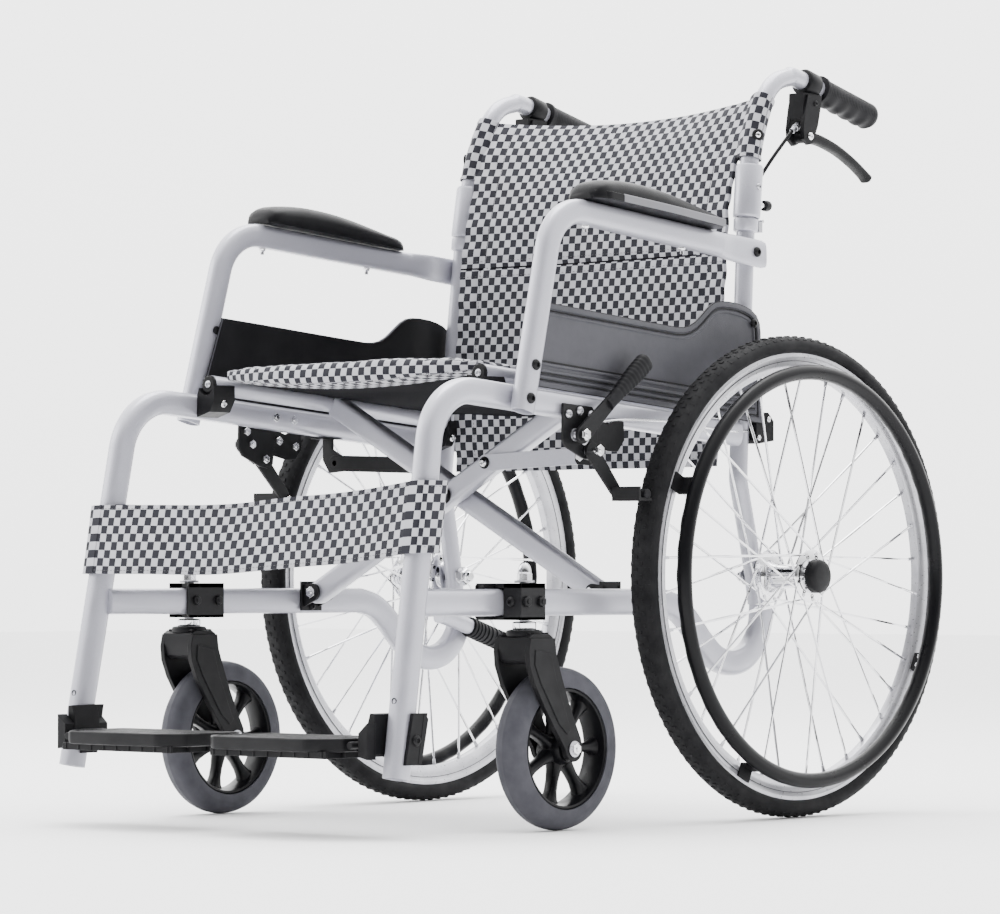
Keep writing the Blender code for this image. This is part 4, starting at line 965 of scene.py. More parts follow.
def caster_fork(tag, s):
    b = Build()
    top = place(s * CASTER_X, CASTER_Y, 0)
    b.turned(top, (0, 0, 1), [(0.214, 0.02), (0.218, 0.0206), (0.2205, 0.0196), (0.2215, 0.015)], BLACK, 36)
    b.turned(top, (0, 0, 1), [(0.2212, 0.0128), (0.2222, 0.0134), (0.229, 0.0134), (0.23, 0.012),
                              (0.2304, 0.0085)], CHROME, 32)
    b.turned(top, (0, 0, 1), [(0.23, 0.0056), (0.274, 0.0056)], ZINC, 16)
    b.turned(top, (0, 0, 1), [(0.2726, 0.011), (0.274, 0.0114), (0.2752, 0.011)], ZINC, 28)
    b.turned(top, (0, 0, 1), [(0.2752, 0.0086), (0.283, 0.0086)], CHROME, 6)
    acorn = [(0.2828, 0.0074)] + [(0.284 + 0.0115 * math.sin(a), 0.0074 * math.cos(a) + 0.0001)
                                  for a in [math.pi / 2 * i / 8 for i in range(9)]]
    b.turned(top, (0, 0, 1), acorn, CHROME, 24)
    b.done("caster_stem_" + tag, "caster_fork_" + tag, "chrome", bevel=0.0004)
    f = Build()
    crown = [(-0.456, 0.213), (-0.458, 0.201), (-0.4545, 0.188), (-0.448, 0.1835), (-0.427, 0.1835),
             (-0.42, 0.188), (-0.416, 0.201), (-0.417, 0.213), (-0.423, 0.2165), (-0.45, 0.2165)]
    f.side(crown, s, CASTER_X - 0.024, CASTER_X + 0.024, BLACK)
    for k in range(5):
        y = -0.4515 + 0.0072 * k
        f.side([(y, 0.216), (y + 0.0034, 0.216), (y + 0.0028, 0.2182), (y + 0.0006, 0.2182)], s,
               CASTER_X - 0.02, CASTER_X + 0.02, BLACK)
    front = [(-0.456, 0.212), (-0.459, 0.198), (-0.4575, 0.182), (-0.449, 0.162), (-0.433, 0.137),
             (-0.417, 0.114), (-0.401, 0.093)]
    back = [(-0.3725, 0.101), (-0.385, 0.125), (-0.396, 0.149), (-0.406, 0.174), (-0.4135, 0.195),
            (-0.416, 0.212)]
    leg = front + disc((CASTER_WHEEL_Y, CASTER_R), 0.0142, 10, math.radians(190), math.radians(390)) + back
    for near, far in ((0.0196, 0.0262), (-0.0262, -0.0196)):
        f.side(leg, s, CASTER_X + near, CASTER_X + far, BLACK)
    rib = [(-0.449, 0.2), (-0.45, 0.183), (-0.44, 0.163), (-0.41, 0.118), (-0.396, 0.106),
           (-0.39, 0.111), (-0.401, 0.135), (-0.415, 0.168), (-0.423, 0.195)]
    for near, far in ((0.026, 0.0272), (-0.0272, -0.026)):
        f.side(rib, s, CASTER_X + near, CASTER_X + far, BLACK)
    f.done("caster_fork_legs_" + tag, "caster_fork_" + tag, "black_plastic", ["caster_fork_" + tag],
           bevel=0.0022, segments=3)
    n = Build()
    for out in (1, -1):
        end = place(s * (CASTER_X + out * 0.0262), CASTER_WHEEL_Y, CASTER_R)
        n.turned(end, (s * out, 0, 0), [(0, 0.009), (0.0012, 0.009), (0.0014, 0.006)], ZINC, 24)
        n.bolt(end + Vector((s * out * 0.0012, 0, 0)), (s * out, 0, 0), 0.0066, 0.0042, CHROME, "hex")
    n.rod(place(s * (CASTER_X - 0.027), CASTER_WHEEL_Y, CASTER_R),
          place(s * (CASTER_X + 0.027), CASTER_WHEEL_Y,
          CASTER_R), 0.0042, CHROME)
    n.done("caster_axle_" + tag, "caster_fork_" + tag, "chrome", bevel=0.0003)


def caster_wheel(tag, s):
    centre = place(s * CASTER_X, CASTER_WHEEL_Y, CASTER_R)
    t = Build()
    half = 0.0165
    profile = [(-half, 0.0672), (half, 0.0672), (half + 0.0002, 0.074), (half - 0.0004, 0.08),
               (half * 0.86, 0.0845), (half * 0.62, 0.0878), (half * 0.32, 0.0895), (0.0006, 0.09),
               (0, 0.0902),
               (-0.0006, 0.09), (-half * 0.32, 0.0895), (-half * 0.62, 0.0878), (-half * 0.86, 0.0845),
               (-half + 0.0004, 0.08), (-half - 0.0002, 0.074)]
    t.turned(centre, (s, 0, 0), profile, GREY_TYRE, 96, closed=True)
    t.done("caster_solid_tyre_" + tag, "caster_wheel_" + tag, "caster_tyre", ["caster_tyre_" + tag])
    h = Build()
    rim = [(-0.015, 0.0668), (-0.0158, 0.065), (-0.015, 0.063), (-0.006, 0.06), (0.006, 0.06),
           (0.015, 0.063), (0.0158, 0.065), (0.015, 0.0668)]
    h.turned(centre, (s, 0, 0), rim, GLOSS, 84, closed=True)
    h.turned(centre, (s, 0, 0), [(-0.017, 0.01), (-0.0168, 0.015), (-0.011, 0.0185), (0.011, 0.0185),
                                 (0.0168, 0.015), (0.017, 0.01)], GLOSS, 42, closed=False)
    for k in range(7):
        a = 2 * math.pi * (k + 0.25) / 7
        rings = []
        for r, wide, deep in ((0.015, 0.0085, 0.01), (0.024, 0.0062, 0.0088), (0.036, 0.005, 0.0078),
                              (0.048, 0.0055, 0.0076), (0.056, 0.008, 0.008), (0.062, 0.0125, 0.009)):
            ring = []
            for u, v in oval(1, 1, 2.8, 12):
                ring.append(centre + Matrix.Rotation(a, 3, "X") @ Vector((s * v * deep * 2, u * wide * 2, r)))
            rings.append(ring)
        h.loft(rings, GLOSS)
    h.turned(centre, (s, 0, 0), [(-0.0184, 0.0048), (-0.0184, 0.0086), (0.0184, 0.0086), (0.0184, 0.0048)],
             ZINC, 24,
             closed=True)
    h.done("caster_spoked_hub_" + tag, "caster_wheel_" + tag, "caster_plastic", ["caster_hub_" + tag])


# ---- footrests ---------------------------------------------------------------------------
def foot_clamp(tag, s):
    """Moulded block behind the foot of the upright, with two lugs for the plate."""
    b = Build()
    low, high = 0.079, 0.134
    middle = upright_x((low + high) / 2)
    front, rear = TUBE_H / 2 + 0.0002, TUBE_H / 2 + 0.0072
    block = [(upright_y(low) + front, low), (upright_y(low) + rear, low + 0.004),
             (upright_y(high) + rear, high - 0.006),
             (upright_y(high) + front, high)]
    b.side(block, s, middle - 0.0125, middle + 0.0172, BLACK)
    cheek = [(upright_y(low) - 0.004, low), (upright_y(low) + rear - 0.001, low),
             (upright_y(high) + rear - 0.001, high), (upright_y(high) - 0.002, high)]
    b.side(cheek, s, middle - 0.016, middle - 0.0124, BLACK)
    b.side(cheek, s, middle + 0.0126, middle + 0.0168, BLACK)
    for y0, y1 in ((-0.664, -0.65), (-0.612, -0.599)):
        lug = [(s * 0.229, 0.088), (s * 0.242, 0.085), (s * 0.242, 0.124), (s * 0.229, 0.113)]
        b.across(lug, y0, y1, BLACK)
    wedge = [(s * 0.2285, 0.09), (s * 0.24, 0.09), (s * 0.24, 0.133), (s * 0.233, 0.134),
             (s * 0.2285, 0.12)]
    b.across(wedge, -0.65, -0.612, BLACK)
    b.bolt(place(s * (middle + 0.0166), upright_y(0.105) + 0.008, 0.105), (s, 0, 0), 0.006, 0.003,
           BLACK_METAL)
    b.done("footrest_clamp_" + tag, "frame_" + tag, "black_plastic", ["foot_clamp_" + tag], bevel=0.0014)


def foot_outline(s, inset):
    corners = [(0.213, -0.5885), (0.213, -0.67), (0.185, FOOTPLATE_FRONT + 0.0003), (0.044,
               FOOTPLATE_FRONT + 0.0003), (0.0195, -0.678), (0.0195, -0.5885)]
    path = rounded_path([Vector((x, y, 0)) for x, y in corners + corners[:2]], 0.012, 5)
    ring = path[1:-1]
    centre = Vector((0.115, -0.645, 0))
    done = []
    for p in ring:
        away = p - centre
        shrink = Vector((away.x * (1 - inset / 0.096), away.y * (1 - inset / 0.056), 0))
        done.append((s * (centre.x + shrink.x), centre.y + shrink.y + Y_AXLE))
    return done


def footplate(tag, s):
    """Flip-up plate: raised rim, grooved tread and ribs underneath."""
    b = Build()
    top = FOOTPLATE_Z + 0.0072
    levels = [(0.004, top - 0.0148), (0.0006, top - 0.0138), (0.0, top - 0.011), (0.0, top - 0.0012),
              (0.0012, top), (0.005, top), (0.0062, top - 0.0016)]
    rings = [[Vector((x, y, z)) for x, y in foot_outline(s, inset)] for inset, z in levels]
    b.loft(rings, BLACK)
    for k in range(14):
        y = -0.686 + 0.0068 * k
        reach = 0.205 if y > -0.672 else 0.19
        b.slab(s, (0.032, reach), (y, y + 0.0036), (top - 0.0022, top - 0.0004), BLACK)
    for k in range(9):
        x = 0.036 + 0.0205 * k
        b.slab(s, (x - 0.0011, x + 0.0011), (-0.69, -0.594), (top - 0.0215, top - 0.0135), BLACK)
    for y in (-0.688, -0.66, -0.63, -0.596):
        b.slab(s, (0.03, 0.206), (y - 0.0011, y + 0.0011), (top - 0.0215, top - 0.0135), BLACK)
    b.rod(place(s * FOOTPLATE_X, -0.649, FOOTPLATE_Z), place(s * FOOTPLATE_X, -0.613, FOOTPLATE_Z), 0.0074,
          BLACK, 24)
    web = [(s * 0.208, FOOTPLATE_Z - 0.007), (s * FOOTPLATE_X, FOOTPLATE_Z - 0.007),
           (s * FOOTPLATE_X, FOOTPLATE_Z + 0.007), (s * 0.208, FOOTPLATE_Z + 0.007)]
    b.across(web, -0.6485, -0.6135, BLACK)
    b.rod(place(s * FOOTPLATE_X, -0.669, FOOTPLATE_Z), place(s * FOOTPLATE_X, -0.596, FOOTPLATE_Z), 0.004,
          BLACK_METAL, 16)
    b.done("ribbed_footplate_" + tag, "footplate_" + tag, "black_plastic", ["footplate_" + tag], bevel=0.0007)


# ---- cross brace -------------------------------------------------------------------------
def brace(name, s, layer, body):
    """One arm with rounded edges, its welded seat tube and the tube's end caps."""
    b = Build()
    slope = (BRACE_MID_Z - BRACE_Z) / BRACE_X
    length = math.hypot(1, slope)
    along = Vector((s / length, 0, slope / length))
    middle = (layer[0] + layer[1]) / 2
    low = place(-s * BRACE_X, middle, BRACE_Z)
    high = place(s * SEAT_TUBE_X, middle, BRACE_MID_Z + slope * SEAT_TUBE_X) - along * 0.009
    wide, tall = layer[1] - layer[0] - 0.0006, BRACE_H
    rings = []
    for distance, k in ((-0.0128, 0.25), (-0.0115, 0.6), (-0.0085, 0.84), (-0.004, 0.97), (0.0, 1.0)):
        rings.append((low + along * distance, k))
    rings.append((high, 1.0))
    across = along.cross(Vector((0, 1, 0)))
    shaped = []
    for point, k in rings:
        shaped.append([point + Vector((0, a * wide, 0)) + across * (c * tall * k)
                       for a, c in oval(1, 1, 5.0)])
    b.loft(shaped, PEARL)
    ends = [place(s * SEAT_TUBE_X, y, rail_z(y) + SEAT_TUBE_UP) for y in (-0.453, -0.052)]
    b.rod(ends[0], ends[1], SEAT_TUBE_R, PEARL, 32)
    for end, other in ((ends[0], ends[1]), (ends[1], ends[0])):
        out = (end - other).normalized()
        b.turned(end, out, [(-0.001, 0.0108), (0.0022, 0.0106), (0.0036, 0.0088), (0.0036, 0.005)], BLACK, 30)
        for k in range(12):
            a = 2 * math.pi * k / 12
            spot = end + Vector((math.cos(a), 0, math.sin(a))) * 0.01
            b.rod(spot, spot + out * 0.0024, 0.0012, BLACK, 8)
        b.bolt(end + out * 0.003, out, 0.0045, 0.0022, ZINC)
    for point, out in ((low, -1), (low, 1)):
        face = point + Vector((0, out * (wide / 2), 0))
        b.turned(face, (0, out, 0), [(0, 0.009), (0.0002, 0.009)], ZINC, 24)
    seam = high + along * 0.0015
    b.turned(seam - along * 0.0032, along, [(0, 0.0118), (0.0022, 0.011), (0.004, 0.0096)], PEARL, 30)
    b.done(name + "_arm", body, "frame_paint", [name])


def brace_bolt():
    b = Build()
    y0, y1 = LAYER_A[0] - 0.0004, LAYER_B[1] + 0.0004
    for y, out in ((y0, -1), (y1, 1)):
        b.turned(place(0, y, BRACE_MID_Z), (0, out, 0), [(0, 0.0108), (0.0012, 0.0108), (0.0014, 0.0088)],
                 BLACK_METAL, 28)
        b.bolt(place(0, y + out * 0.0012, BRACE_MID_Z), (0, out, 0), 0.0092, 0.006, BLACK_METAL)
    b.done("centre_bolt", "brace_a", "black_metal", ["brace_bolt"])


def brace_clamp(tag, s, layer):
    b = Build()
    inner = X_FRAME - RAIL_W / 2 - 0.0006
    y0, y1 = layer
    pad = [(s * inner, 0.239), (s * (inner - 0.0035), 0.239), (s * (inner - 0.0035), 0.274),
           (s * inner, 0.274)]
    b.across(pad, y0 - 0.007, y1 + 0.007, BLACK_METAL)
    ear = [(s * a, c) for a, c in capsule((BRACE_X, BRACE_Z), (0.2255, 0.257), 0.0105, 0.013, 12)]
    ear = [(math.copysign(min(abs(a), inner), a), c) for a, c in ear]
    for low, high in ((y0 - 0.004, y0 - 0.0006), (y1 + 0.0006, y1 + 0.004)):
        b.across(ear, low, high, BLACK_METAL)
    for y, out in ((y0 - 0.004, -1), (y1 + 0.004, 1)):
        b.bolt(place(s * BRACE_X, y, BRACE_Z), (0, out, 0), 0.0072, 0.0046, CHROME, "hex")
    b.rod(place(s * BRACE_X, y0 - 0.003, BRACE_Z), place(s * BRACE_X, y1 + 0.003, BRACE_Z), 0.0048, CHROME)
    for z in (0.244, 0.269):
        b.bolt(place(s * (inner - 0.0035), (y0 + y1) / 2, z), (-s, 0, 0), 0.0042, 0.0028, BLACK_METAL)
    b.done("brace_pivot_bracket_" + tag, "frame_" + tag, "black_metal", ["brace_clamp_" + tag], bevel=0.0005)


def link(tag, s):
    """Flat stabiliser link with a bushed bolt at each end, and its bracket under the rail; the far link is
    black as painted shade.
    """
    y0, y1 = (-0.2863, -0.2827) if s > 0 else (-0.2373, -0.2337)
    end_z = BRACE_MID_Z + LINK_END_X * (BRACE_MID_Z - BRACE_Z) / BRACE_X
    outline = capsule((s * LINK_X, LINK_Z), (s * LINK_END_X, end_z), 0.0095, 0.0095, 12)
    # Painted shade: the far (right) link lies in shadow, so it takes black coated steel while the near link
    # keeps the frame's pearl paint.
    mat = PEARL if s > 0 else BLACK_METAL
    b = Build()
    b.across(outline, y0, y1, mat)
    out = -1 if s > 0 else 1
    face = y0 if s > 0 else y1
    b.turned(place(s * LINK_END_X, face, end_z), (0, out, 0),
             [(0, 0.0072), (0.002, 0.0068), (0.0022, 0.0045)], BLACK, 24)
    b.bolt(place(s * LINK_END_X, face + out * 0.0018, end_z), (0, out, 0), 0.005, 0.0034, CHROME)
    b.done("stabiliser_link_" + tag, "link_" + tag, "frame_paint", ["link_" + tag], bevel=0.0008)
    c = Build()
    p0, p1 = (-0.2915, -0.287) if s > 0 else (-0.233, -0.2285)
    top = rail_z(p1) - 0.015
    shape = [(s * (LINK_X - 0.01), 0.41), (s * (LINK_X - 0.007), 0.406), (s * 0.233, 0.4045),
             (s * 0.244, 0.42),
             (s * 0.244, top), (s * 0.229, top), (s * 0.229, 0.433), (s * (LINK_X - 0.01), 0.423)]
    c.across(shape, p0, p1, BLACK_METAL)
    c.slab(s, (0.229, 0.248), (p0 - 0.016, p1 + 0.016), (top - 0.0004, top + 0.0006), BLACK_METAL)
    c.rod(place(s * LINK_X, p0, LINK_Z), place(s * LINK_X, (y1 if s > 0 else y0), LINK_Z), 0.0038, CHROME)
    near = p0 if s > 0 else p1
    c.bolt(place(s * LINK_X, near, LINK_Z), (0, out, 0), 0.007, 0.004, CHROME, "hex")
    c.done("link_hanger_" + tag, "frame_" + tag, "black_metal", ["link_bracket_" + tag], bevel=0.0006)


# ---- parking brake -----------------------------------------------------------------------
def brake_mount(tag, s):
    b = Build()
    outer = [(-0.365, 0.431), (-0.359, 0.423), (-0.33, 0.411), (-0.316, 0.409), (-0.308, 0.414),
             (-0.304, 0.456), (-0.315, 0.469), (-0.364, 0.472)]
    b.side(outer, s, 0.2534, 0.2566, BLACK_METAL)
    for y, z in (BRAKE_PIVOT, SHOE_PIVOT):
        b.rod(place(s * 0.256, y, z), place(s * 0.2738, y, z), 0.0038, CHROME)
        b.turned(place(s * 0.2566, y, z), (s, 0, 0), [(0, 0.0075), (0.0018, 0.0072), (0.002, 0.005)], ZINC,
                 20)
        b.bolt(place(s * 0.2716, y, z), (s, 0, 0), 0.0068, 0.0042, CHROME, "hex")
    for y, z in ((-0.345, 0.437), (-0.322, 0.42), (-0.3, 0.442), (-0.272, 0.436), (-0.354, 0.452)):
        b.bolt(place(s * 0.2534, y, z), (-s, 0, 0), 0.0054, 0.0044, CHROME, "hex")
    for y, z in ((-0.356, 0.46), (-0.318, 0.46), (-0.337, 0.464)):
        b.bolt(place(s * 0.2566, y, z), (s, 0, 0), 0.005, 0.0034, ZINC)
    guard = [(-0.308, 0.456), (-0.286, 0.45), (-0.274, 0.456), (-0.26, 0.454), (-0.259, 0.433),
             (-0.27, 0.42), (-0.286, 0.42), (-0.306, 0.424)]
    b.side(guard, s, 0.2536, 0.256, BLACK_METAL)
    b.done("brake_base_" + tag, "frame_" + tag, "black_metal", ["brake_mount_" + tag], bevel=0.0007)


def brake_lever(tag, s):
    b = Build()
    y, z = BRAKE_PIVOT
    bar = capsule((y, z), (-0.296, 0.4752), 0.0102, 0.008, 10)
    b.side(bar, s, 0.2657, 0.2698, BLACK_METAL)
    b.side(capsule((-0.338, 0.43), (-0.323, 0.448), 0.0048, 0.0048, 6), s, 0.264, 0.2656, ZINC)
    b.done("brake_lever_bar_" + tag, "brake_lever_" + tag, "black_metal", ["brake_lever_" + tag],
           bevel=0.0007)
    g = Build()
    start, end = place(s * 0.2678, -0.301, 0.4712), place(s * 0.2678, -0.233, 0.5248)
    steps = 60
    rings = []
    for k in range(steps + 1):
        t = k / steps
        swell = 0.0072 + 0.0042 * ease(t * 1.3) - 0.0012 * ease((t - 0.86) / 0.14)
        if t > 0.94:
            swell *= math.sqrt(max(0.05, 1 - ((t - 0.94) / 0.062) ** 2))
        rib = 0.0006 * (0.5 + 0.5 * math.cos(t * 2 * math.pi * 15)) if 0.22 < t < 0.9 else 0.0
        radius = swell - rib
        rings.append((start.lerp(end, t), radius))
    along = (end - start).normalized()
    side = Vector((1, 0, 0))
    above = along.cross(side)
    section = oval(2, 2, 2.5, 28)
    g.loft([[p + side * (a * r * 0.82) + above * (c * r) for a, c in section] for p, r in rings], GRIP)
    g.done("brake_lever_grip_" + tag, "brake_lever_" + tag, "grip")


def brake_shoe(tag, s):
    b = Build()
    y, z = SHOE_PIVOT
    arm = capsule((y, z), (-0.2825, 0.3778), 0.0098, 0.0078, 10)
    b.side(arm, s, 0.2592, 0.263, BLACK_METAL)
    foot = place(s * 0.2594, -0.277, 0.3718)
    tip = place(s * 0.3058, -0.277, 0.3718)
    b.rod(foot, tip, 0.0034, CHROME)
    ledge = [(-0.2905, 0.38), (-0.2905, 0.364), (-0.268, 0.364), (-0.268, 0.3672), (-0.2868, 0.368),
             (-0.2868, 0.38)]
    b.side(ledge, s, 0.264, 0.304, BLACK_METAL)
    grip = place(s * 0.274, -0.277, 0.3718)
    rings = [(0, 0.0046), (0.001, 0.0057)]
    for k in range(7):
        rings += [(0.003 + 0.004 * k, 0.0057), (0.0042 + 0.004 * k, 0.0051)]
    rings += [(0.0312, 0.0057), (0.0322, 0.0046)]
    b.turned(grip, (s, 0, 0), rings, GRIP, 24)
    b.bolt(foot + Vector((-s * 0.001, 0, 0)), (-s, 0, 0), 0.0055, 0.003, CHROME, "hex")
    b.done("brake_shoe_arm_" + tag, "brake_shoe_" + tag, "black_metal", ["brake_shoe_" + tag], bevel=0.0006)


# ---- push handles ------------------------------------------------------------------------
CANE = [(-0.0005, HINGE_Z + 0.0006), (0.003, 0.74), (0.012, 0.782), (0.026, 0.82), (0.041, 0.848),
        (0.06, 0.8665), (0.085, 0.875), (0.107, 0.8745), (0.239, 0.842)]


def cane_line(s, per=6):
    return smooth_path([place(s * post_x(z if y < 0.1 else HANDLE_Z), y, z) for y, z in CANE], per)


def cane_spot(s, z):
    """The handle tube's centre at height z, below the bend."""
    line = cane_line(s)
    for a, b in zip(line, line[1:]):
        if a.z <= z <= b.z:
            return a.lerp(b, (z - a.z) / max(1e-6, b.z - a.z))
    return line[0]


def cane(tag, s):
    b = Build()
    b.sweep(cane_line(s), round_section(POST_R, 28), PEARL)
    low, high = cane_spot(s, HINGE_Z + 0.0012), place(s * post_x(0.765), 0.0085, 0.765)
    tall = (high - low).length
    b.turned(low, high - low, [(0, 0.015), (0.001, 0.016), (0.003, 0.0164), (tall - 0.004, 0.0164),
                               (tall - 0.001, 0.015), (tall, 0.0115)], PEARL, 32)
    b.bolt(low.lerp(high, 0.58) + Vector((s * 0.0158, 0, 0)), (s, 0, 0), 0.0042, 0.0024, ZINC)
    b.done("handle_tube_" + tag, "back_" + tag, "frame_paint", ["cane_" + tag])
    k = Build()
    spot = low + Vector((s * 0.003, 0.0148, 0.0165))
    k.turned(spot, (0, 1, 0), [(-0.002, 0.0066), (0.004, 0.0066), (0.005, 0.005), (0.005, 0.0034),
                               (0.014, 0.0034)],
             CHROME, 20)
    knob = [(0.013, 0.004), (0.014, 0.0062), (0.02, 0.0066), (0.023, 0.0058), (0.024, 0.003)]
    k.turned(spot, (0, 1, 0), knob, BLACK, 24)
    k.done("release_plunger_" + tag, "back_" + tag, "black_plastic", bevel=0.0003)


def grip_frame(s):
    x = s * HANDLE_X
    start = place(x, 0.144, 0.8654)
    direction = (place(x, 0.24, 0.8418) - place(x, 0.107, 0.8745)).normalized()
    return start, direction


def grip(tag, s):
    """Rubber grip: flange, four finger swells underneath, rings of fine grooves and a round end."""
    b = Build()
    start, along = grip_frame(s)
    side = Vector((1, 0, 0))
    above = side.cross(along) * -1
    above = above if above.z > 0 else -above
    rings = []
    steps, count = 110, 32
    for k in range(steps + 1):
        d = 0.111 * k / steps
        radius = 0.0158
        if d < 0.005:
            radius = 0.0176
        if d > 0.099:
            radius *= math.sqrt(max(0.02, 1 - ((d - 0.099) / 0.0123) ** 2))
        ring = []
        for i in range(count):
            a = 2 * math.pi * i / count
            under = max(0.0, -math.sin(a))
            wave = 0.5 + 0.5 * math.cos(2 * math.pi * (d - 0.018) / 0.0215)
            swell = 0.002 * under * wave if 0.006 < d < 0.099 else 0
            groove = 0.0004 if 0.008 < d < 0.096 and (d * 1000) % 3.0 < 1.0 and math.sin(a) > -0.2 else 0.0
            r = radius + swell - groove
            ring.append(start + along * d + side * (r * math.cos(a)) + above * (r * math.sin(a)))
        rings.append(ring)
    b.loft(rings, GRIP)
    b.done("hand_grip_" + tag, "back_" + tag, "grip", ["grip_" + tag], angle=60)


def hand_brake(tag, s):
    """Clamp ring, moulded lever body and cable barrel of the attendant brake."""
    b = Build()
    x = HANDLE_X
    line = cane_line(s)
    near = [p for p in line if 0.112 < p.y - Y_AXLE]
    centre = place(s * x, 0.124, 0.8704)
    along = (near[-1] - near[0]).normalized()
    b.turned(centre, along, [(-0.012, 0.012), (-0.0112, 0.0148), (-0.0095, 0.0158), (0.0095, 0.0158),
                             (0.0112, 0.0148), (0.012, 0.012)], BLACK, 36)
    body = [(0.1075, 0.856), (0.103, 0.84), (0.0985, 0.815), (0.1, 0.802), (0.109, 0.7955), (0.117, 0.7985),
            (0.1215, 0.808), (0.127, 0.82), (0.132, 0.84), (0.1345, 0.856)]
    for near_x, far_x in ((x - 0.0138, x - 0.0084), (x + 0.0084, x + 0.0138)):
        b.side(body, s, near_x, far_x, BLACK)
    b.side([(0.102, 0.858), (0.101, 0.826), (0.131, 0.83), (0.135, 0.858)], s, x - 0.011, x + 0.011, BLACK)
    y, z = HAND_PIVOT
    for out in (1, -1):
        b.bolt(place(s * (x + out * 0.0138), y, z), (s * out, 0, 0), 0.0048, 0.0022, CHROME)
        b.bolt(place(s * (x + out * 0.0138), 0.122, 0.846), (s * out, 0, 0), 0.0036, 0.0018, BLACK_METAL)
    b.turned(place(s * x, 0.1045, 0.819), (0, -0.8, -0.55),
             [(-0.004, 0.0046), (0.006, 0.0046), (0.0065, 0.0036),
             (0.013, 0.0036), (0.0135, 0.0026)], ZINC, 16)
    b.done("lever_clamp_" + tag, "back_" + tag, "black_plastic", ["hand_brake_" + tag], bevel=0.001)


def hand_lever(tag, s):
    b = Build()
    y, z = HAND_PIVOT
    line = smooth_path([place(0, *p) for p in ((0.112, 0.806), (0.13, 0.8058), (0.15, 0.803), (0.18, 0.7945),
                                               (0.208, 0.7825), (0.229, 0.771), (0.242, 0.7625))], 6)
    x = s * HANDLE_X
    rings = []
    for k, point in enumerate(line):
        t = k / (len(line) - 1)
        along = (line[min(k + 1, len(line) - 1)] - line[max(k - 1, 0)]).normalized()
        above = Vector((1, 0, 0)).cross(along)
        tall = 0.0072 * (1 - 0.35 * ease(t * 1.2)) + 0.001 * ease((t - 0.85) / 0.15)
        wide = 0.0074 + 0.0004 * ease(t)
        if k == len(line) - 1:
            tall, wide = tall * 0.5, wide * 0.6
        rings.append([point + Vector((x, 0, 0)) + Vector((a * wide, 0, 0)) + above * (c * tall)
                      for a, c in oval(2, 2, 2.8, 24)])
    b.loft(rings, BLACK)
    b.turned(place(x - 0.0078, y, z), (1, 0, 0), [(0, 0.0076), (0.0156, 0.0076)], BLACK, 24)
    b.done("pull_lever_" + tag, "hand_lever_" + tag, "black_plastic", ["hand_lever_" + tag], bevel=0.0006)


def brake_cable(tag, s):
    """Attendant brake cable, down behind the post to the box on its rear face."""
    x = HANDLE_X
    upper = [place(s * x, 0.0955, 0.813), place(s * x, 0.08, 0.799), place(s * (x - 0.004), 0.056, 0.772),
             place(s * (x - 0.008), 0.039, 0.748), place(s * (x - 0.011), 0.029, 0.725),
             place(s * 0.208, 0.0185, 0.69), place(s * 0.2075, 0.012, 0.64), place(s * 0.2075, 0.006, 0.58),
             place(s * 0.209, 0.0, 0.53), place(s * 0.212, 0.002, 0.498), place(s * 0.215, 0.0045, 0.474),
             place(s * 0.2165, 0.005, 0.46)]
    line = smooth_path(upper, 8)
    b = Build()
    b.sweep(line, round_section(CABLE_R, 12), BLACK)
    obj = b.done("brake_cable_" + tag, None, "black_plastic")
    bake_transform(obj)
    c = Build()
    low, high = (-0.0125, 0.435), (0.02, 0.472)
    middle = post_x(0.455)
    c.side([(low[0], low[1] + 0.004), (low[0] + 0.004, low[1]), (high[0], low[1] + 0.004),
            (high[0], high[1] - 0.01),
            (high[0] - 0.01, high[1]), (low[0], high[1])], s, middle - 0.0125, middle + 0.0165, BLACK)
    c.turned(place(s * (middle + 0.004), 0.017, 0.45), (0, 1, 0),
             [(0, 0.0044), (0.008, 0.004), (0.0085, 0.0026)], ZINC, 16)
    for y, z in ((-0.008, 0.442), (0.01, 0.464)):
        c.bolt(place(s * (middle + 0.0165), y, z), (s, 0, 0), 0.0034, 0.002, CHROME)
    c.done("cable_box_" + tag, "frame_" + tag, "black_plastic", bevel=0.001)
    w = Build()
    wire = [place(s * 0.256, -0.308, 0.452), place(s * 0.256, -0.26, 0.456), place(s * 0.2545, -0.18, 0.456),
            place(s * 0.253, -0.1, 0.45), place(s * 0.25, -0.05, 0.448), place(s * 0.244, -0.017, 0.45)]
    w.sweep(smooth_path(wire, 8), round_section(0.0013, 10), CHROME)
    w.done("brake_wire_" + tag, "frame_" + tag, "chrome")


# ---- soft goods --------------------------------------------------------------------------
def stitches(b, line, pitch=0.0042, radius=0.00032, long=0.0026):
    """A row of short threads laid along a line."""
    left = 0.0
    for a, c in zip(line, line[1:]):
        span = (c - a).length
        if span < 1e-6:
            continue
        along = (c - a) / span
        spot = left
        while spot + long < span:
            b.rod(a + along * spot, a + along * (spot + long), radius, THREAD, 5)
            spot += pitch
        left = max(0.0, spot - span)


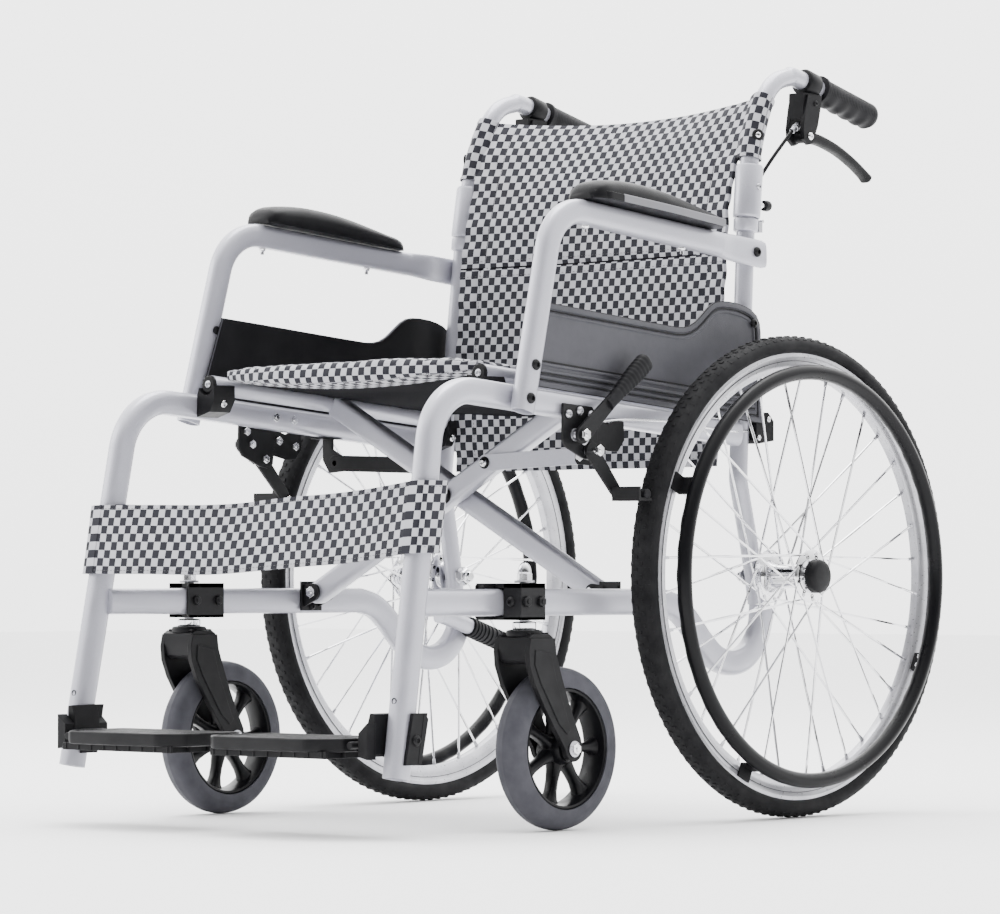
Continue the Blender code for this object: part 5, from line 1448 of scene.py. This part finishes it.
def cloth(b, spot, across, down, wide, tall, thick, mat=FABRIC, back=None, v0=0.0):
    """A closed sheet from spot(u, v), u and v in 0..1, with its pattern in metres."""
    rows = [[Vector(spot(i / across, j / down)) for i in range(across + 1)] for j in range(down + 1)]
    n = across + 1
    normals = []
    for j in range(down + 1):
        for i in range(n):
            a = rows[j][min(i + 1, across)] - rows[j][max(i - 1, 0)]
            c = rows[min(j + 1, down)][i] - rows[max(j - 1, 0)][i]
            normals.append(a.cross(c).normalized())
    flat = [p for row in rows for p in row]
    uvs = [(wide * i / across, v0 + tall * j / down) for j in range(down + 1) for i in range(n)]
    front = [p + m * thick / 2 for p, m in zip(flat, normals)]
    rear = [p - m * thick / 2 for p, m in zip(flat, normals)]
    total = len(flat)
    faces = []
    for j in range(down):
        for i in range(across):
            a, c, d, e = j * n + i, j * n + i + 1, (j + 1) * n + i + 1, (j + 1) * n + i
            faces.append((a, c, d, e))
    other = [tuple(total + i for i in reversed(f)) for f in faces]
    edge = list(range(n)) + [j * n + n - 1 for j in range(1, down + 1)]
    edge += [down * n + i for i in range(n - 2, -1, -1)] + [j * n for j in range(down - 1, 0, -1)]
    rim = [(a, c, total + c, total + a) for a, c in zip(edge, edge[1:] + edge[:1])]
    b.add(front + rear, faces + rim, mat, uvs + uvs)
    back = back or mat
    base = len(b.verts) - 2 * total
    if back not in b.mats:
        b.mats.append(back)
    b.faces += [tuple(base + i for i in f) for f in other]
    b.slots += [b.mats.index(back)] * len(other)
    return rows


BACK = ((0.41, -0.033, 0.205, 0.004), (0.5, -0.0345, 0.209, 0.01), (0.6, -0.0265, 0.209, 0.012),
        (0.66, -0.0205, 0.2105, 0.013), (0.715, -0.013, 0.207, 0.015), (0.765, 0.0005, 0.2075, 0.018),
        (0.81, 0.019, 0.21, 0.02), (0.846, 0.038, 0.2105, 0.022))


def back_station(z):
    """(y at the posts, half width, sag) of the back at height z."""
    for low, high in zip(BACK, BACK[1:]):
        if z <= high[0]:
            t = (z - low[0]) / (high[0] - low[0])
            return [low[i] + (high[i] - low[i]) * t for i in (1, 2, 3)]
    return list(BACK[-1][1:])


def back_spot(x, z, z_low, z_high, puff, seams=(), droop=0.0):
    """A point of the back's middle surface: x in -1..1 across."""
    y, half, sag = back_station(z)
    dip = sag * (1 - x * x)
    rise = (z - z_low) / (z_high - z_low)
    swell = puff * (1 - abs(x) ** 4) * max(0.0, math.sin(math.pi * rise)) ** 0.35
    for seam in seams:
        swell -= 0.0026 * math.exp(-((x - seam) * half / 0.0038) ** 2)
    ripple = 0.0013 * noise.noise(Vector((x * 2.2, z * 14, 1.7)))
    ripple += 0.0009 * noise.noise(Vector((x * 6, z * 30, 4.2)))
    edge_pull = 0.0011 * math.sin(z * 210) * max(0.0, abs(x) - 0.75) * 4
    return place(x * half, y + dip - swell + ripple + edge_pull, z - dip * droop * rise ** 2)


def back_lower():
    """Lower back sling, from the fold line to the flap that hangs behind the seat."""
    b = Build()
    z0, z1 = 0.409, 0.6596

    def spot(u, v):
        return back_spot(u * 2 - 1, z0 + (z1 - z0) * v, z0, z1, 0.003, (-0.86, 0.86))

    rows = cloth(b, spot, 72, 52, 0.424, z1 - z0, 0.0052, back=LINING)
    for j in (2, 50):
        stitches(b, [p + Vector((0, -0.003, 0)) for p in rows[j]])
    for i in (5, 67):
        stitches(b, [row[i] + Vector((0, -0.003, 0)) for row in rows])
    obj = b.done("back_sling_lower", "frame_right", "fabric", ["back_lower"], angle=60)
    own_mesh(obj)


def back_upper():
    """Upper back sling with its own fold line along the bottom edge."""
    b = Build()
    z0, z1 = 0.6604, 0.8455

    def spot(u, v):
        return back_spot(u * 2 - 1, z0 + (z1 - z0) * v, z0, z1, 0.0042, (-0.84, 0.84), 0.62)

    rows = cloth(b, spot, 72, 44, 0.418, z1 - z0, 0.0056, back=LINING, v0=z0 - 0.409)
    for j in (2, 41):
        stitches(b, [p + Vector((0, -0.0034, 0)) for p in rows[j]])
    for i in (6, 66):
        stitches(b, [row[i] + Vector((0, -0.0034, 0)) for row in rows])
    b.sweep([p + Vector((0, 0.0002, -0.0004)) for p in rows[0]], oval(0.0078, 0.0034, 2.0, 12), LINING)
    # Thin dark lines laid in the bottom of the two seam creases: painted crease shade.
    for i in (6, 66):
        b.sweep([row[i] + Vector((0, -0.0024, 0)) for row in rows], oval(0.0014, 0.0014, 2.0, 8), LINING)
    obj = b.done("back_sling_upper", "back_right", "fabric", ["back_upper"], angle=60)
    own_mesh(obj)


def back_sleeve(tag, s):
    """Fabric sleeve round the handle tube, with its snap and hem."""
    b = Build()
    z0, z1, rows_n, count = 0.772, 0.846, 26, 40
    rings, uvs = [], []
    for k in range(rows_n + 1):
        t = k / rows_n
        centre = cane_spot(s, z0 + (z1 - z0) * t)
        after = cane_spot(s, z0 + (z1 - z0) * t + 0.002)
        along = (after - centre).normalized()
        side = Vector((1, 0, 0))
        above = along.cross(side)
        ring = []
        for i in range(count):
            a = 2 * math.pi * i / count
            wrinkle = 0.0007 * noise.noise(Vector((math.cos(a) * 2, math.sin(a) * 2, t * 9 + s)))
            r = 0.0128 + wrinkle + (0.0007 if t < 0.07 or t > 0.93 else 0)
            inner = max(0.0, -s * math.cos(a))
            r += 0.006 * inner ** 6
            ring.append(centre + side * (r * math.cos(a)) + above * (r * math.sin(a)))
            uvs.append((0.0128 * a, 0.363 + (z1 - z0) * t))
        rings.append(ring)
    b.loft(rings, FABRIC, caps=False, uvs=uvs)
    for ring in (rings[0], rings[-1]):
        centre = sum(ring, Vector()) / count
        inside = [centre + (p - centre) * 0.88 for p in ring]
        b.loft([ring, inside], FABRIC, caps=False)
    for ring in (rings[2], rings[-3]):
        centre = sum(ring, Vector()) / count
        stitches(b, [centre + (p - centre) * 1.03 for p in ring])
    spot = cane_spot(s, 0.8)
    out = Vector((s * 0.85, -0.5, 0)).normalized()
    b.turned(spot + out * 0.0125, out, [(0, 0.0072), (0.0014, 0.007), (0.0022, 0.0056), (0.0023, 0.004)],
             BLACK, 24)
    b.turned(spot + out * 0.0142, out, [(0, 0.0036), (0.0012, 0.003), (0.0014, 0.0012)], CHROME, 16)
    sleeve = b.done("back_sleeve_" + tag, "back_" + tag, "fabric", angle=70)


SEAT_FRONT, SEAT_REAR = -0.456, -0.056


def seat_start():
    """The seat pad before it is filled: a thin slab bowed at the front and sunk in the middle."""
    work = bmesh.new()
    nx, ny = 24, 24
    levels = ((0.031, 0), (0.043, 1))
    grid = []
    for z, top in levels:
        layer = []
        for j in range(ny + 1):
            v = j / ny
            for i in range(nx + 1):
                u = i / nx * 2 - 1
                front = SEAT_FRONT - 0.012 * (1 - u * u) + 0.016 * abs(u) ** 5
                y = front + (SEAT_REAR - front) * v
                half = 0.207 - 0.008 * (1 - ease(v / 0.12))
                sag = 0.0085 * (1 - u * u) * math.sin(math.pi * min(1, v * 0.9 + 0.06))
                sag += 0.011 * (1 - u * u) * (1 - ease(v / 0.3)) * (1 - top)
                layer.append(work.verts.new(place(u * half, y, rail_z(y) + z - sag)))
        grid.append(layer)
    n = nx + 1
    for layer in grid:
        for j in range(ny):
            for i in range(nx):
                work.faces.new((layer[j * n + i], layer[j * n + i + 1], layer[(j + 1) * n + i + 1],
                                layer[(j + 1) * n + i]))
    edge = list(range(n)) + [j * n + nx for j in range(1, ny + 1)]
    edge += [ny * n + i for i in range(nx - 1, -1, -1)] + [j * n for j in range(ny - 1, 0, -1)]
    for a, c in zip(edge, edge[1:] + edge[:1]):
        work.faces.new((grid[0][a], grid[0][c], grid[1][c], grid[1][a]))
    bmesh.ops.recalc_face_normals(work, faces=work.faces)
    mesh = bpy.data.meshes.new("seat_pad")
    work.to_mesh(mesh)
    work.free()
    obj = bpy.data.objects.new("seat_pad", mesh)
    bpy.context.scene.collection.objects.link(obj)
    return obj


def apply_modifiers(obj):
    bpy.context.view_layer.update()
    graph = bpy.context.evaluated_depsgraph_get()
    mesh = bpy.data.meshes.new_from_object(obj.evaluated_get(graph))
    obj.modifiers.clear()
    obj.data = mesh


def fill_with_air(obj, voxel, pressure, cap, hold, frames=18):
    """Swells a closed pad with the cloth solver, no point further than cap from where it began."""
    mod = obj.modifiers.new("skin", "REMESH")
    mod.mode = "VOXEL"
    mod.voxel_size = voxel
    apply_modifiers(obj)
    start = [v.co.copy() for v in obj.data.vertices]
    group = obj.vertex_groups.new(name="held")
    for i, p in enumerate(start):
        weight = hold(p)
        if weight > 0:
            group.add([i], weight, "REPLACE")
    mod = obj.modifiers.new("fill", "CLOTH")
    mod.settings.use_pressure = True
    mod.settings.uniform_pressure_force = pressure
    mod.settings.effector_weights.gravity = 0
    mod.settings.quality = 5
    mod.settings.tension_stiffness = 15
    mod.settings.compression_stiffness = 15
    mod.settings.shear_stiffness = 8
    mod.settings.bending_stiffness = 0.5
    mod.settings.vertex_group_mass = "held"
    mod.point_cache.frame_start, mod.point_cache.frame_end = 1, frames
    scene = bpy.context.scene
    for number in range(1, frames + 1):
        scene.frame_set(number)
    apply_modifiers(obj)
    scene.frame_set(1)
    for vert, old in zip(obj.data.vertices, start):
        step = vert.co - old
        if step.length > cap:
            vert.co = old + step * (cap / step.length)


def seat():
    obj = seat_start()

    def hold(p):
        y = p.y - Y_AXLE
        side = ease((abs(p.x) - 0.186) / 0.014)
        rear = ease((y - SEAT_REAR + 0.016) / 0.01)
        return min(1.0, max(side, rear))

    fill_with_air(obj, 0.0048, 2.0, 0.0035, hold)
    mesh = obj.data
    seam = SEAT_FRONT + 0.022
    for vert in mesh.vertices:
        y = vert.co.y - Y_AXLE
        up = 1 if vert.normal.z > 0.2 else 0
        bow = -0.012 * (1 - (vert.co.x / 0.2) ** 2) + 0.016 * abs(vert.co.x / 0.2) ** 5
        dent = math.exp(-((y - bow - seam) / 0.0042) ** 2) * 0.0022
        dent += 0.002 * math.exp(-((abs(vert.co.x) - 0.18) / 0.004) ** 2)
        fold = 0.0016 * noise.noise(Vector((vert.co.x * 7, y * 5, 2.1)))
        fold += 0.001 * noise.noise(Vector((vert.co.x * 24, y * 9, 7.7)))
        vert.co.z += up * (fold - dent)
    mod = obj.modifiers.new("smooth", "SUBSURF")
    mod.levels = mod.render_levels = 1
    apply_modifiers(obj)
    mesh = obj.data
    layer = mesh.uv_layers.new(name="UVMap") if not mesh.uv_layers else mesh.uv_layers[0]
    mesh.uv_layers.active = layer
    top = {}
    for vert in mesh.vertices:
        y = vert.co.y - Y_AXLE
        below = max(0.0, rail_z(y) + 0.0395 - vert.co.z)
        u, v = vert.co.x, y
        if vert.normal.y < -0.5:
            v = SEAT_FRONT - 0.01 - below
        if abs(vert.normal.x) > 0.6:
            u = math.copysign(abs(u) + below, u)
        top[vert.index] = (u + 0.3, v + 0.8)
    for loop in mesh.loops:
        layer.data[loop.index].uv = top[loop.vertex_index]
    mesh.materials.append(FABRIC)
    mesh.materials.append(LINING)
    for poly in mesh.polygons:
        rear_of_roll = poly.center.y - Y_AXLE > SEAT_FRONT + 0.03
        poly.material_index = 1 if poly.normal.z < -0.55 and rear_of_roll else 0
    mesh.shade_smooth()
    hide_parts("seat")
    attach(obj, "seat")
    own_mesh(obj)
    b = Build()

    def flap(u, v):
        x = u * 2 - 1
        y = SEAT_FRONT + 0.03 + (SEAT_REAR - SEAT_FRONT - 0.044) * v
        drop = 0.01 * (1 - abs(x) ** 2.5) + 0.0012 * math.sin(v * 19 + x * 2)
        return place(x * 0.199, y, rail_z(y) + 0.0345 - drop)

    cloth(b, flap, 40, 40, 0.4, 0.38, 0.0022, LINING)
    under = b.done("seat_under_sling", "seat", "fabric", angle=60)
    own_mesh(under)


def calf_strap():
    """Wide belt across the uprights; each end loops round its upright."""
    low, tall, thick = 0.2935, 0.078, 0.003
    b = Build()

    def spot(u, v):
        x = (u * 2 - 1) * 0.244
        z = low + tall * v + 0.011 * (x / 0.26)
        bow = -0.0195 + 0.0125 * (1 - (x / 0.244) ** 2)
        slack = 1 - (x / 0.244) ** 2
        ripple = 0.0022 * noise.noise(Vector((x * 14, z * 10, 0.4)))
        ripple += 0.0014 * slack * math.sin(x * 48 + z * 60)
        return place(x, upright_y(z) + bow + ripple, z - 0.0085 * slack + 0.0012 * math.sin(x * 26) * slack)

    rows = cloth(b, spot, 96, 20, 0.488, tall, thick)
    for j in (1, 19):
        stitches(b, [p + Vector((0, -0.0018, 0)) for p in rows[j]])
    obj = b.done("calf_strap_front", "frame_right", "fabric", ["calf_strap"], angle=60)
    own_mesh(obj)
    for tag, s in SIDES:
        loop = Build()
        outline = ((0.24, -0.0196), (0.254, -0.019), (0.2592, -0.016), (0.2608, -0.01), (0.261, 0.003),
                   (0.2604, 0.013), (0.257, 0.019), (0.248, 0.0208), (0.236, 0.0206), (0.227, 0.019),
                   (0.224, 0.012), (0.226, -0.006), (0.23, -0.0165))
        line = [Vector((x, y, 0)) for x, y in outline]
        plan = smooth_path(line, 4)
        reach = [0.0]
        for a, c in zip(plan, plan[1:]):
            reach.append(reach[-1] + (c - a).length)

        def around(u, v):
            k = u * (len(plan) - 1)
            i = min(int(k), len(plan) - 2)
            p = plan[i].lerp(plan[i + 1], k - i)
            z = low + tall * v + 0.011 * (s * p.x / 0.26)
            wave = 0.0006 * noise.noise(Vector((p.x * 60, p.y * 60, z * 20 + s)))
            return place(s * (p.x + wave), upright_y(z) + p.y, z)

        rows = cloth(loop, around, len(plan) - 1, 12, reach[-1], tall, thick)
        for j in (1, 11):
            stitches(loop, [p + Vector((s * 0.0016, 0, 0)) for p in rows[j][6:26]])
        end = loop.done("calf_strap_loop_" + tag, "frame_" + tag, "fabric", angle=60)


# ---- studio ------------------------------------------------------------------------------
CAMERA_AT = place(3.445, -4.018, 0.276)
CAMERA_TURN, CAMERA_RISE, LENS = 41.94, 1.606, 157.5


def area_light(name, at, target, size, power, colour=(1, 1, 1)):
    data = bpy.data.lights.new(name, "AREA")
    data.shape, data.size, data.size_y = "RECTANGLE", size[0], size[1]
    data.energy, data.color = power, colour
    obj = bpy.data.objects.new(name, data)
    bpy.context.scene.collection.objects.link(obj)
    obj.location = at
    obj.rotation_euler = (Vector(target) - Vector(at)).to_track_quat("-Z", "Y").to_euler()


def sweep_world():
    """White sweep: bright behind and above the chair, dimmer on the near side."""
    world = bpy.data.worlds.new("studio")
    world.use_nodes = True
    tree = world.node_tree
    spot = tree.nodes.new("ShaderNodeTexCoord")
    dot = tree.nodes.new("ShaderNodeVectorMath")
    dot.operation = "DOT_PRODUCT"
    dot.inputs[1].default_value = Vector((-0.4, 0.47, 0.79)).normalized()
    tree.links.new(spot.outputs["Generated"], dot.inputs[0])
    level = tree.nodes.new("ShaderNodeMapRange")
    level.inputs["From Min"].default_value = -0.25
    level.inputs["From Max"].default_value = 0.9
    level.inputs["To Min"].default_value = 0.12
    level.inputs["To Max"].default_value = 4.8
    tree.links.new(dot.outputs["Value"], level.inputs["Value"])
    background = tree.nodes["Background"]
    background.inputs["Color"].default_value = (1.0, 1.0, 1.0, 1)
    tree.links.new(level.outputs["Result"], background.inputs["Strength"])
    return world


def studio():
    scene = bpy.context.scene
    data = bpy.data.cameras.new("camera")
    data.lens, data.sensor_width, data.clip_end = LENS, 36.0, 50.0
    camera = bpy.data.objects.new("camera", data)
    scene.collection.objects.link(camera)
    camera.location = CAMERA_AT
    camera.rotation_euler = (math.radians(90 + CAMERA_RISE), 0, math.radians(CAMERA_TURN))
    scene.camera = camera
    b = Build()
    b.plate([(-14, -14), (14, -14), (14, 14), (-14, 14)], "Z", -0.02, -0.0004, floor_material())
    b.done("studio_floor", None)
    scene.world = sweep_world()
    area_light("overhead", (-0.5, 0.7, 3.6), (0, 0, 0.4), (2.6, 2.6), 150)
    area_light("side", (-3.6, -2.2, 2.2), (0, 0, 0.4), (2.4, 1.8), 60)


def build():
    for tag, s in SIDES:
        for piece in (side_tube, rear_post, lower_rail, arm_tube, arm_pad, side_panel, rail_fittings, axle,
                      rear_tyre,
                      rear_wheel, handrim, caster_housing, caster_fork, caster_wheel, foot_clamp, footplate,
                      link,
                      brake_mount, brake_lever, brake_shoe, cane, grip, hand_brake, hand_lever, brake_cable,
                      back_sleeve):
            piece(tag, s)
    tipping_lever()
    brace_clamp("left", 1.0, LAYER_B)
    brace_clamp("right", -1.0, LAYER_A)
    brace("brace_a", 1.0, LAYER_A, "brace_a")
    brace("brace_b", -1.0, LAYER_B, "brace_b")
    brace_bolt()
    back_lower()
    back_upper()
    seat()
    calf_strap()


studio()
build()
bpy.context.view_layer.update()
